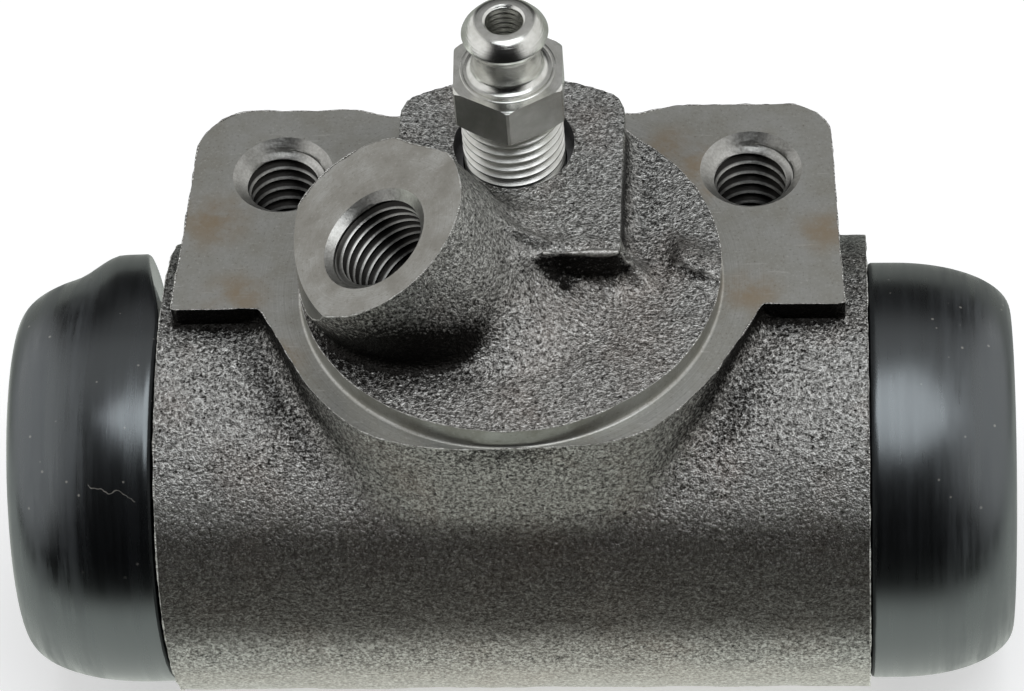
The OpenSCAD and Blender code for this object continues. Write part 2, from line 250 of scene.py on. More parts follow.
# Burr left at the end of the machined surfaces: its radius, the length of its waves and its lie
BURR_R = 0.13
BLOCK_BURR_R = 0.42
BLOCK_BURR_X = (3.4, BLOCK_HALF - 0.2)
BLOCK_BURR_STEPS = 60
BURR_WAVE = 1.6
BURR_LIE = (0.31, 0.52, 0.79)


# Meshes

def show(name, data):
    """New object of the scene."""
    made = bpy.data.objects.new(name, data)
    bpy.context.scene.collection.objects.link(made)
    return made


def make_object(name, points, faces, material, smooth=True):
    """Object of points in millimetres and faces, with one material."""
    mesh = bpy.data.meshes.new(name)
    mesh.from_pydata((np.asarray(points) * MM).tolist(), [], faces)
    mesh.materials.append(material)
    mesh.shade_smooth() if smooth else mesh.shade_flat()
    return show(name, mesh)


def place_mesh(made, place, axis=(0, 0, 1)):
    """Moves an object's mesh, not the object, onto a line through place along axis."""
    turn = Vector((0, 0, 1)).rotation_difference(Vector(axis)).to_matrix().to_4x4()
    made.data.transform(Matrix.Translation(Vector(place) * MM) @ turn)
    return made


def add_face(faces, ring):
    """Adds a face, less the points that its ring says twice, if it still has three."""
    face = [int(v) for n, v in enumerate(ring) if v not in ring[:n]]
    if len(face) > 2:
        faces.append(face)


def revolve(name, profile, material, steps=ROUND_STEPS):
    """Closed solid of revolution about z. The profile is (r, z) points, counterclockwise;
    points at r = 0 lie on the axis."""
    angles = np.arange(steps) * 2 * math.pi / steps
    points = []
    rings = []
    for r, z in profile:
        if r == 0:
            rings.append([len(points)] * steps)
            points.append((0, 0, z))
        else:
            rings.append(list(range(len(points), len(points) + steps)))
            points.extend(zip(r * np.cos(angles), r * np.sin(angles), [z] * steps))
    faces = []
    for a, b in zip(rings, rings[1:] + rings[:1]):
        for i in range(steps):
            j = (i + 1) % steps
            add_face(faces, [a[i], a[j], b[j], b[i]])
    return make_object(name, points, faces, material)


def groove_radius(phase, inner_r, outer_r):
    """Radius of an inner thread at a share of its pitch, with the groove's flat about phase 0."""
    off_flat = np.abs((phase + 0.5) % 1 - 0.5)
    drop = np.clip((off_flat - GROOVE_FLAT / 2) / GROOVE_FLANK, 0, 1)
    return outer_r + (inner_r - outer_r) * drop


def helical_solid(name, radius, low, high, pitch, material, low_tip=0.0, rows_a_turn=8):
    """Closed solid about z whose surface is radius(phase, z), with rows that follow the helix.
    Past its two ends the helix is folded onto the end rings."""
    turns = math.ceil((high - low) / pitch) + 2
    rows = np.arange(turns * rows_a_turn + 1)
    columns = np.arange(TURN_STEPS)
    share = columns[:, None] / TURN_STEPS
    z = low - pitch + pitch * (rows[None, :] / rows_a_turn + share)
    z = np.clip(z, low, high)
    r = radius((z - low) / pitch - share, z)
    angle = 2 * math.pi * share
    points = np.stack([r * np.cos(angle), r * np.sin(angle), z], -1).reshape(-1, 3)
    keys = np.round(points, 6)
    keys, index = np.unique(keys, axis=0, return_inverse=True)
    index = index.reshape(len(columns), len(rows))
    faces = []
    last_row = len(rows) - 1
    for c in columns:
        after = (c + 1) % TURN_STEPS
        shift = rows_a_turn if after == 0 else 0
        for i in range(last_row):
            add_face(faces, [index[c, i], index[after, min(i + shift, last_row)],
                             index[after, min(i + 1 + shift, last_row)], index[c, i + 1]])
    tip = len(keys)
    points = np.vstack([keys, (0, 0, low - low_tip), (0, 0, high)])
    for c in columns:
        after = (c + 1) % TURN_STEPS
        faces.append([int(index[after, 0]), int(index[c, 0]), tip])
        faces.append([int(index[c, last_row]), int(index[after, last_row]), tip + 1])
    return make_object(name, points, faces, material)


def combine(target, other, operation):
    """Cuts other from target, or joins it to target. What is new keeps other's materials."""
    step = target.modifiers.new("combine", "BOOLEAN")
    step.object = other
    step.operation = operation
    step.solver = "MANIFOLD"
    step.material_mode = "TRANSFER"
    graph = bpy.context.evaluated_depsgraph_get()
    made = bpy.data.meshes.new_from_object(target.evaluated_get(graph))
    target.modifiers.clear()
    spent = target.data
    target.data = made
    bpy.data.meshes.remove(spent)
    bpy.data.objects.remove(other)


def read(items, name, width=1, kind=np.int32):
    """One setting of all edges, loops or faces of a mesh."""
    values = np.zeros(width * len(items), kind)
    items.foreach_get(name, values)
    return values


def edge_finishes(mesh):
    """Lowest and highest number of the finishes that meet at each edge of a mesh."""
    finish = read(mesh.polygons, "material_index")
    loop_finish = np.repeat(finish, read(mesh.polygons, "loop_total"))
    loop_edge = read(mesh.loops, "edge_index")
    lowest = np.full(len(mesh.edges), len(mesh.materials))
    highest = np.full(len(mesh.edges), -1)
    np.minimum.at(lowest, loop_edge, loop_finish)
    np.maximum.at(highest, loop_edge, loop_finish)
    return lowest, highest


def sharpen(made, degrees=38):
    """Smooth shading with sharp edges where faces turn, and where two finishes meet."""
    mesh = made.data
    mesh.shade_smooth()
    mesh.set_sharp_from_angle(angle=math.radians(degrees))
    lowest, highest = edge_finishes(mesh)
    sharp = read(mesh.edges, "use_edge_sharp", kind=bool)
    mesh.edges.foreach_set("use_edge_sharp", sharp | (lowest != highest))
    mesh.update()


# Distance fields of the casting

def round_union(a, b, r):
    """Union of two distances, with a fillet of radius r where they meet."""
    u = np.maximum(r - a, 0)
    v = np.maximum(r - b, 0)
    return np.maximum(r, np.minimum(a, b)) - np.hypot(u, v)


def round_meet(a, b, r):
    """Common part of two distances, with an edge of radius r where they meet."""
    return -round_union(-a, -b, r)


def smooth_step(low, high, value):
    """0 below low, 1 above high and a smooth change between."""
    t = np.clip((value - low) / (high - low), 0, 1)
    return t * t * (3 - 2 * t)


def outline_distance(x, y, outline):
    """Signed distance to a closed flat outline."""
    nearest = np.inf
    inside = np.zeros(np.broadcast(x, y).shape, bool)
    for (ax, ay), (bx, by) in zip(outline, outline[1:] + outline[:1]):
        ex, ey = bx - ax, by - ay
        along = np.clip(((x - ax) * ex + (y - ay) * ey) / (ex * ex + ey * ey), 0, 1)
        nearest = np.minimum(nearest, np.hypot(x - ax - along * ex, y - ay - along * ey))
        if ay != by:
            crosses = (ay > y) != (by > y)
            inside ^= crosses & (x < ax + ex * (y - ay) / ey)
    return np.where(inside, -nearest, nearest)


def extruded(flat, low, high, z):
    """Distance to a flat outline's field pulled from low to high along z, with soft edges."""
    up = np.abs(z - (low + high) / 2) - (high - low) / 2
    return round_meet(flat, up, CAST_EDGE_R)


def ear_outline():
    """Outline of both ears: slanted sides, round far corners and a dip between them."""
    halves = []
    for side, radius in EAR_CORNER_R.items():
        corner_y = EAR_BACK_Y - radius
        corner_x = EAR_W / 2 - radius - (corner_y - EAR_FRONT_Y) * math.tan(EAR_TAPER)
        arc = [math.radians(a) for a in range(0, 91, 10)]
        half = [(EAR_W / 2, EAR_FRONT_Y)]
        half += [(corner_x + radius * math.cos(a), corner_y + radius * math.sin(a)) for a in arc]
        half += [(DIP_HALF, EAR_BACK_Y), (DIP_HALF - DIP_SLOPE, EAR_BACK_Y - DIP_DEPTH)]
        halves += [(side * x + EAR_MID_X, y) for x, y in half[::side]]
    return halves


def pedestal_flat(x, y):
    """Flat field of the round pedestal, with its flat front and its flares into the ears."""
    flare_x = PAD_R * math.cos(FLARE_ANGLE)
    flare_y = PAD_R * math.sin(FLARE_ANGLE)
    flare = [(-FLARE_HALF, EAR_FRONT_Y), (-flare_x, flare_y), (flare_x, flare_y),
             (FLARE_HALF, EAR_FRONT_Y), (FLARE_HALF, 0), (-FLARE_HALF, 0)]
    disc = round_meet(np.hypot(x, y) - PAD_R, -PAD_FRONT - y, PAD_CORNER_R)
    return np.minimum(disc, outline_distance(x, y, flare))


def pilot_top(x, y):
    """Height of the rough top of the pilot, with the block's flank and the raised patch."""
    off_block = np.clip((np.abs(x) - BLOCK_HALF) / FLANK_W, 0, 1)
    behind = y - BLOCK_FRONT_Y - FLANK_SET_BACK * (1 - off_block)
    soft = FLANK_SOFT[0] + FLANK_SOFT[1] * off_block
    flank = FLANK_H * (1 - off_block) ** FLANK_CURVE * smooth_step(-soft, soft, behind)
    flank = flank * (1 - smooth_step(FLANK_FLAT, FLANK_LEN, behind))
    along = np.clip(x - PATCH_X, *PATCH_SPAN)
    past_edge = y - PATCH_Y + PATCH_SLANT * along
    patch = (PATCH_RISE - PATCH_FADE * along) * smooth_step(*PATCH_START, along)
    patch = patch * smooth_step(-PATCH_EDGE, PATCH_EDGE, past_edge)
    patch = patch * (1 - smooth_step(PATCH_FLAT, PATCH_LEN, past_edge))
    return PILOT_H + np.maximum(flank, patch)


def boss_distance(x, y, z):
    """Distance to the port's boss, drafted so that it widens towards its foot."""
    qx, qy, qz = x - PORT_FOOT[0], y - PORT_FOOT[1], z - PORT_FOOT[2]
    along = qx * PORT_AXIS[0] + qy * PORT_AXIS[1] + qz * PORT_AXIS[2]
    centre = PORT_SIDE * PORT_BOSS_SHIFT + PORT_LEFT * PORT_BOSS_LEFT
    off = [q - along * a - c for q, a, c in zip((qx, qy, qz), PORT_AXIS, centre)]
    radius = np.sqrt(off[0] ** 2 + off[1] ** 2 + off[2] ** 2)
    side = radius - PORT_BOSS_R - (PORT_REACH - along) * math.tan(PORT_DRAFT)
    side = side * math.cos(PORT_DRAFT)
    flat = BOSS_FLAT_WAY[0] * x + BOSS_FLAT_WAY[1] * y - BOSS_FLAT_PLACE
    flat = flat + BOSS_FLAT_SLOPE * (z - BOSS_FLAT_Z)
    return np.maximum(np.maximum(side, flat), np.maximum(along - PORT_REACH - SPARE, -along))


def boss_fillet(x, y):
    """Radius of the fillet around the boss: wide towards the block, small at its front."""
    level = PORT_FOOT + PORT_AXIS * (PILOT_H - PORT_FOOT[2]) / PORT_AXIS[2]
    dx, dy = x - level[0], y - level[1] - PORT_BOSS_SHIFT
    towards = (BOSS_TO_BLOCK[0] * dx + BOSS_TO_BLOCK[1] * dy) / np.maximum(np.hypot(dx, dy), 0.1)
    more = smooth_step(*BOSS_FILLET_TURN, towards)
    return BOSS_FILLET_SMALL + (BOSS_FILLET_LARGE - BOSS_FILLET_SMALL) * more


def casting_distance(x, y, z):
    """Distance to the casting before it is machined."""
    barrel = round_meet(np.hypot(y - BARREL_Y, z - BARREL_Z) - BARREL_R,
                        np.abs(x) - NECK_END_X - SPARE, CAST_EDGE_R)
    ears = extruded(outline_distance(x, y, ear_outline()), -EAR_T, SPARE, z)
    pedestal = extruded(pedestal_flat(x, y), -PAD_DEPTH, SPARE, z)
    lower = np.minimum(round_union(barrel, ears, EAR_FILLET),
                       round_union(barrel, pedestal, BARREL_FILLET))
    pilot = np.maximum(np.hypot(x, y) - PILOT_R - SPARE, z - pilot_top(x, y))
    pilot = np.maximum(pilot, SPARE / 2 - z)
    sides = round_meet(np.abs(x) - BLOCK_HALF, np.hypot(x, y) - PILOT_R - BLOCK_PROUD, BLOCK_CORNER_R)
    sides = round_meet(sides, BLOCK_FRONT_Y - y, CAST_EDGE_R)
    block = round_meet(sides, np.abs(z) - BLOCK_H, CAST_EDGE_R / 3)
    boss = boss_distance(x, y, z)
    stand = np.minimum(round_union(pilot, block, BLOCK_FILLET),
                       round_union(block, boss, BOSS_BLOCK_FILLET))
    stand = np.minimum(stand, round_union(pilot, boss, boss_fillet(x, y)))
    return np.minimum(lower, stand)


def surface_net(field, low, step):
    """Points and quads around the zero level of a sampled field, one point per crossed cell."""
    solid = field < 0
    cells_shape = tuple(n - 1 for n in field.shape)
    corners = np.array([(i, j, k) for i in (0, 1) for j in (0, 1) for k in (0, 1)])
    inside = np.zeros(cells_shape, np.int8)
    for i, j, k in corners:
        inside += solid[i:cells_shape[0] + i, j:cells_shape[1] + j, k:cells_shape[2] + k]
    active = (inside > 0) & (inside < 8)
    cells = np.argwhere(active)
    number = np.full(cells_shape, -1)
    number[active] = np.arange(len(cells))
    total = np.zeros((len(cells), 3))
    count = np.zeros(len(cells))
    for corner in corners:
        for axis in np.flatnonzero(corner == 0):
            unit = np.eye(3, dtype=int)[axis]
            here = field[tuple((cells + corner).T)]
            there = field[tuple((cells + corner + unit).T)]
            crossed = (here < 0) != (there < 0)
            share = here[crossed] / (here[crossed] - there[crossed])
            total[crossed] += corner + share[:, None] * unit
            count[crossed] += 1
    points = low + (cells + total / count[:, None]) * step
    quads = []
    for axis in range(3):
        side_a, side_b = np.roll(np.eye(3, dtype=int), -axis - 1, 0)[:2]
        first = np.take(solid, range(field.shape[axis] - 1), axis)
        second = np.take(solid, range(1, field.shape[axis]), axis)
        edges = np.argwhere(first != second)
        ring = np.stack([number[tuple((edges - a).T)]
                         for a in (0 * side_a, side_a, side_a + side_b, side_b)], 1)
        outward = first[tuple(edges.T)]
        quads.append(np.where(outward[:, None], ring, ring[:, ::-1]))
    return points, np.vstack(quads)


def settle(points, distance, passes=4, reach=0.02):
    """Moves points onto the zero level of a distance. Returns them and the outward direction."""
    for _ in range(passes):
        slope = np.stack([(distance(*(points + d).T) - distance(*(points - d).T)) / (2 * reach)
                          for d in np.eye(3) * reach], 1)
        size = np.maximum((slope ** 2).sum(1, keepdims=True), 0.25)
        points = points - np.clip(distance(*points.T), -GRID, GRID)[:, None] * slope / size
    return points, slope / np.sqrt(size)


def casting(material):
    """The casting before it is machined, with its uneven skin."""
    low = BODY_LOW - GRID_MARGIN
    low[0] -= SPARE
    high = BODY_HIGH + GRID_MARGIN
    high[0] += SPARE
    x, y, z = (np.arange(a, b, GRID) for a, b in zip(low, high))
    field = casting_distance(x[:, None, None], y[None, :, None], z[None, None, :])
    points, quads = surface_net(field, low, GRID)
    points, outward = settle(points, casting_distance)
    lift = np.full(len(points), -SKIN_BACK)
    for length, height in SKIN_LAYERS:
        lift += height * np.array([noise.noise(Vector(p)) for p in points / length])
    points += outward * lift[:, None]
    points[:, 1] = np.clip(points[:, 1], BODY_LOW[1], BODY_HIGH[1])
    points[:, 2] = np.maximum(points[:, 2], BODY_LOW[2])
    return make_object("cylinder_casting", points, quads.tolist(), material)


# Machining

def rod(name, r, low, high, material, steps=ROUND_STEPS):
    """Plain round cutter about z, from low to high."""
    return revolve(name, [(0, low), (r, low), (r, high), (0, high)], material, steps)


def cut(body, cutter, place, axis=(0, 0, 1)):
    """Puts a cutter onto an axis and cuts with it."""
    combine(body, place_mesh(cutter, place, axis), "DIFFERENCE")


def machine(body, faced, port_faced, tapped, bored):
    """Cuts every machined surface into the casting. Each finish comes from its cutter."""
    arc = [math.radians(a) for a in range(180, 271, 15)]
    corner = [(PILOT_R + PILOT_CORNER_R + PILOT_CORNER_R * math.cos(a),
               PILOT_CORNER_R + PILOT_CORNER_R * math.sin(a)) for a in arc]
    outside = [(CLEAR, 0), (CLEAR, CLEAR_H), (PILOT_R, CLEAR_H)]
    combine(body, revolve("facing", outside + corner, faced), "DIFFERENCE")
    cut(body, rod("port_facing", PORT_FACING_R, 0, PORT_FACING_H, port_faced), PORT_FACE, PORT_AXIS)
    cut(body, rod("boring", BORE_R, -CLEAR, CLEAR, bored), *BORE_LINE)
    for side in (-1, 1):
        cut(body, end_cutter(bored), (0, BORE_Y, BORE_Z), (side, 0, 0))
        cut(body, tap_cutter("ear_tap", EAR_TAP, tapped), (side * EAR_HOLE_X, EAR_HOLE_Y, 0))
    cut(body, tap_cutter("port_tap", PORT_TAP, tapped), PORT_FACE, PORT_AXIS)
    passage = rod("passage", PASSAGE_R, -PASSAGE_BELOW, PORT_REACH - PORT_DEPTH, bored, PASSAGE_STEPS)
    cut(body, passage, PORT_FOOT, PORT_AXIS)
    hole = rod("bleeder_hole", BLEEDER_MAJOR_R + HOLE_GAP, BLEEDER_TIP, HOLE_TOP, bored)
    mouth = rod("bleeder_mouth", MOUTH_R, BLOCK_H - MOUTH_DEPTH, MOUTH_TOP, bored)
    for cutter in (hole, mouth):
        cut(body, cutter, (BLEEDER_X, BLEEDER_Y, 0))


def mark(mesh, name, values):
    """Keeps a number for each point of a mesh, for its materials."""
    mesh.attributes.new(name, "FLOAT", "POINT").data.foreach_set("value", values.astype(np.float32))


def burr(mesh, points, material):
    """Thin ragged bead along the edges where a machined surface ends in the cast skin, and along the
    front edge of the block."""
    lowest, highest = edge_finishes(mesh)
    ends = read(mesh.edges, "vertices", 2).reshape(-1, 2)[(lowest == 0) & (highest > 0)]
    a, b = points[ends[:, 0]], points[ends[:, 1]]
    at_mouth = np.hypot(a[:, 0] - BLEEDER_X, a[:, 1] - BLEEDER_Y) < MOUTH_R + 1
    kept = (np.linalg.norm(b - a, axis=1) > 1e-3) & ~at_mouth
    line = np.linspace(*((x, BLOCK_FRONT_Y, BLOCK_H) for x in BLOCK_BURR_X), BLOCK_BURR_STEPS)
    line, _ = settle(line, casting_distance)
    a, b = np.vstack([a[kept], line[:-1]]), np.vstack([b[kept], line[1:]])
    thick = np.where(np.arange(len(a)) < kept.sum(), BURR_R, BLOCK_BURR_R)
    side = np.cross(b - a, BURR_LIE)
    side /= np.linalg.norm(side, axis=1, keepdims=True)
    over = np.cross(b - a, side)
    over /= np.linalg.norm(over, axis=1, keepdims=True)
    rows = []
    for place in (a, b):
        waves = [noise.noise(Vector(p)) + 0.5 * noise.noise(Vector(3 * p)) for p in place / BURR_WAVE]
        size = thick * np.clip(0.45 + np.array(waves), 0.12, 1)
        rows += [place + size[:, None] * way for way in (side, over, -side, -over)]
    beads = np.clip(np.stack(rows, 1).reshape(-1, 3), BODY_LOW, BODY_HIGH)
    quads = [[0, 1, 5, 4], [1, 2, 6, 5], [2, 3, 7, 6], [3, 0, 4, 7], [3, 2, 1, 0], [4, 5, 6, 7]]
    faces = [[8 * n + k for k in quad] for n in range(len(a)) for quad in quads]
    made = make_object("casting_burr", beads, faces, material)
    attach(made, "housing")


def spread(mesh, values, passes):
    """Evens out numbers of a mesh's points along its edges."""
    ends = read(mesh.edges, "vertices", 2)
    a, b = ends[::2], ends[1::2]
    count = np.maximum(np.bincount(ends, minlength=len(values)), 1)
    for _ in range(passes):
        total = np.bincount(a, values[b], len(values)) + np.bincount(b, values[a], len(values))
        values = (values + total / count) / 2
    return values


def mark_shade_and_edges(mesh, points):
    """Marks the shade painted into the casting's hollows around each point, darker where they face front
    or down, the painted shadow on the block's front wall, and how sharp an edge it lies on.
    """
    _, outward = settle(points, casting_distance, passes=1)
    here = casting_distance(*points.T)
    painted_hollow_shade = np.zeros(len(points))
    for reach in HOLLOW_REACHES:
        free = (casting_distance(*(points + reach * outward).T) - here) / reach
        painted_hollow_shade += np.clip(1 - free, 0, 1) / len(HOLLOW_REACHES)
    front = np.clip(-outward[:, 1], 0, 1)
    x, y, z = points.T
    by_wall = (x > WALL_X[0]) & (x < WALL_X[1]) & (y > WALL_Y[0]) & (y < WALL_Y[1]) & (z > WALL_LOW)
    faces_shade = np.clip(-outward[:, 1] + BOSS_LEAN * outward[:, 0] * (z > PILOT_H), 0, 1)
    painted_hollow_shade = painted_hollow_shade * (HOLLOW_SHADE[0] + HOLLOW_SHADE[1] * faces_shade)
    painted_hollow_shade = spread(mesh, painted_hollow_shade * np.where(by_wall, WALL_FOOT_SHADE, 1), HOLLOW_SPREAD)
    # Painted shadow on the upper part of the block's front wall, under its top edge
    painted_wall_shadow = smooth_step(*WALL_DARK_X, x) * smooth_step(*WALL_DARK_Z, z) * (z < WALL_DARK_TOP)
    ahead = WALL_DARK_AHEAD + WALL_DARK_SLANT * np.clip(x - WALL_X[0], 0, 5)
    painted_wall_shadow = spread(mesh, painted_wall_shadow * by_wall * (y > BLOCK_FRONT_Y - ahead), 1)
    mark(mesh, "painted_hollow_shade", np.maximum(painted_hollow_shade, WALL_DARK * painted_wall_shadow))
    bend = -6 * here
    for way in np.vstack([np.eye(3), -np.eye(3)]) * EDGE_REACH:
        bend += casting_distance(*(points + way).T)
    bend[by_wall & (z < WALL_EDGE_Z)] = 0
    sharp = np.clip(bend / EDGE_REACH ** 2, 0, EDGE_SHARP) / EDGE_SHARP
    mark(mesh, "edge", sharp * np.clip(2 * front, 0, 1))


def mark_threads(mesh, points):
    """Marks how far out in a groove each point of a tapped hole lies, and how deep in the hole, for the
    shade painted there.
    """
    groove = np.zeros(len(points))
    deep = np.zeros(len(points))
    for (inner_r, outer_r, _, _, mouth_r), place, axis in TAPS:
        off = points - np.array(place)
        depth = -off @ np.array(axis)
        radius = np.linalg.norm(off + depth[:, None] * np.array(axis), axis=1)
        inside = (radius < mouth_r - depth + TAP_MARGIN) | (radius < outer_r + TAP_MARGIN)
        inside &= (depth > -TAP_MARGIN / 2) & (depth < TAP_DARK)
        below_mouth = smooth_step(-0.2, 0.2, depth - (mouth_r - inner_r))
        groove[inside] = ((radius - inner_r) / (outer_r - inner_r) * below_mouth)[inside]
        deep[inside] = (depth / TAP_DARK)[inside]
    mark(mesh, "groove", np.clip(groove, 0, 1))
    mark(mesh, "deep", np.clip(deep, 0, 1))


def end_cutter(material):
    """Cutter about z that turns a shoulder, a boot groove and a neck on an end of the barrel."""
    groove_x = SHOULDER_X + GROOVE_W
    groove_r = NECK_R - GROOVE_DEPTH
    return revolve("end_turning", [
        (0, NECK_END_X), (NECK_R - NECK_CHAMFER, NECK_END_X), (NECK_R, NECK_END_X - NECK_CHAMFER),
        (NECK_R, groove_x), (groove_r, groove_x), (groove_r, SHOULDER_X), (CLEAR, SHOULDER_X),
        (CLEAR, CLEAR), (0, CLEAR),
    ], material)


def tap_cutter(name, sizes, material):
    """Cutter of a tapped blind hole from z = 0 downwards, with a chamfered mouth."""
    inner_r, outer_r, pitch, depth, mouth_r = sizes

    def radius(phase, z):
        return np.maximum(groove_radius(phase, inner_r, outer_r), mouth_r + z)
    return helical_solid(name, radius, -depth, 1.0, pitch, material, low_tip=inner_r * DRILL_TIP)


# Materials

class Nodes:
    """A node tree with short ways to add nodes. Inputs are plain values or output sockets."""

    def __init__(self, tree):
        self.tree = tree

    def plug(self, socket, value):
        """Links an output to a socket, or sets the socket's value."""
        if isinstance(value, bpy.types.NodeSocket):
            self.tree.links.new(value, socket)
        else:
            socket.default_value = value

    def set(self, node, **inputs):
        """Sets inputs by name, with _ for a space."""
        for key, value in inputs.items():
            self.plug(node.inputs[key.replace("_", " ")], value)
        return node

    def add(self, kind, settings=(), **inputs):
        """A new node of a kind, with its settings and inputs."""
        node = self.tree.nodes.new("ShaderNode" + kind)
        for key, value in dict(settings).items():
            setattr(node, key, value)
        return self.set(node, **inputs)

    def join(self, kind, a, b, settings=()):
        """Outputs of a new node, with its first two inputs set."""
        node = self.add(kind, settings)
        self.plug(node.inputs[0], a)
        self.plug(node.inputs[1], b)
        return node.outputs

    def math(self, operation, a, b=0.0):
        """One operation on two numbers."""
        return self.join("Math", a, b, {"operation": operation})[0]

    def change(self, value, low, high, start, end):
        """Smooth change from start to end as a value goes from low to high."""
        node = self.add("MapRange", {"interpolation_type": "SMOOTHSTEP"}, Value=value)
        return self.set(node, From_Min=low, From_Max=high, To_Min=start, To_Max=end).outputs[0]

    def split(self, vector):
        """The three numbers of a vector."""
        return self.add("SeparateXYZ", Vector=vector).outputs


class Look(Nodes):
    """A material with a shader, and ways to add patterns. Sizes are in millimetres."""

    def __init__(self, name, **constants):
        self.material = bpy.data.materials.new(name)
        self.material.use_nodes = True
        super().__init__(self.material.node_tree)
        self.shader = self.set(self.tree.nodes["Principled BSDF"], **constants)
        self.place = self.add("TexCoord").outputs["Object"]

    def done(self, colour, rough, height=None, depth=0.0):
        """The material, with its colour, its roughness and a relief of a depth."""
        self.set(self.shader, Base_Color=colour, Roughness=rough)
        if height:
            bump = self.add("Bump", Height=height, Distance=depth * MM)
            self.set(self.shader, Normal=bump.outputs["Normal"])
        return self.material

    def plus(self, a, b):
        """Two numbers added."""
        return self.math("ADD", a, b)

    def minus(self, a, b):
        """One number less another."""
        return self.math("SUBTRACT", a, b)

    def times(self, a, b):
        """Two numbers multiplied."""
        return self.math("MULTIPLY", a, b)

    def vector(self, operation, a, b):
        """One operation on two vectors. A length or a product comes back as a number."""
        number = operation in ("LENGTH", "DISTANCE", "DOT_PRODUCT")
        return self.join("VectorMath", a, b, {"operation": operation})["Value" if number else "Vector"]

    def grain(self, size, detail=2.0, rough=0.5, place=None, seed=0.0):
        """Even noise with lumps of a size, about 0.5 on average."""
        place = self.vector("ADD", place or self.place, (seed, seed, seed))
        node = self.add("TexNoise", Vector=place, Scale=1 / (size * MM), Detail=detail, Roughness=rough)
        return node.outputs["Fac"]

    def lines(self, coordinate, size, detail=4.0):
        """Noise along one coordinate only, with lines of a width."""
        node = self.add("TexNoise", {"noise_dimensions": "1D"}, W=coordinate, Scale=1 / (size * MM))
        return self.set(node, Detail=detail).outputs["Fac"]

    def spots(self, size, reach, share, seed=0.0):
        """1 within reach of the middle of a share of scattered cells. The reach is in cell sizes."""
        place = self.vector("ADD", self.place, (seed, seed, seed))
        node = self.add("TexVoronoi", Vector=place, Scale=1 / (size * MM))
        own = self.add("SeparateColor", Color=node.outputs["Color"]).outputs["Red"]
        inside = self.ramp(node.outputs["Distance"], (0.6 * reach, 1.0), (reach, 0.0))
        return self.times(inside, self.math("LESS_THAN", own, share))

    def marked(self, name):
        """A number that the mesh keeps for its points."""
        return self.add("Attribute", {"attribute_name": name}).outputs["Fac"]

    def ramp(self, share, *stops):
        """Colours or greys at stops along a share."""
        node = self.add("ValToRGB", Fac=share)
        made = node.color_ramp.elements
        while len(made) < len(stops):
            made.new(0.5)
        for stop, (place, colour) in zip(made, stops):
            stop.position = place
            stop.color = (*colour, 1) if isinstance(colour, tuple) else (colour, colour, colour, 1)
        return node.outputs["Color"]

    def mix(self, share, a, b):
        """Colour a, and b where share is 1."""
        node = self.add("Mix", {"data_type": "RGBA"})
        for index, value in ((0, share), (6, a), (7, b)):
            self.plug(node.inputs[index], (*value, 1) if isinstance(value, tuple) else value)
        return node.outputs[2]

    def wash(self, under, colour, share, *stops):
        """A colour laid over another, as much as the stops along a share say."""
        return self.mix(self.ramp(share, *stops), under, colour)

    def off(self, place):
        """Way from a place, in metres."""
        return self.vector("SUBTRACT", self.place, tuple(np.array(place) * MM))

    def rise(self, place, axis):
        """Height over a place along an axis, in metres."""
        return self.vector("DOT_PRODUCT", self.off(place), tuple(axis))

    def off_axis(self, place, axis):
        """Distance from an axis, in metres."""
        along = self.add("VectorMath", {"operation": "SCALE"}, Vector=tuple(axis),
                         Scale=self.rise(place, axis)).outputs["Vector"]
        return self.vector("LENGTH", self.vector("SUBTRACT", self.off(place), along), (0, 0, 0))

    def near(self, place, reach):
        """1 at a place, falling to 0 at reach from it."""
        away = self.vector("DISTANCE", self.place, tuple(np.array(place) * MM))
        return self.span(away, 0.0, reach, 1.0, 0.0)

    def span(self, value, low, high, start, end):
        """Smooth change from start to end as a length in metres goes from low to high."""
        return self.change(value, low * MM, high * MM, start, end)


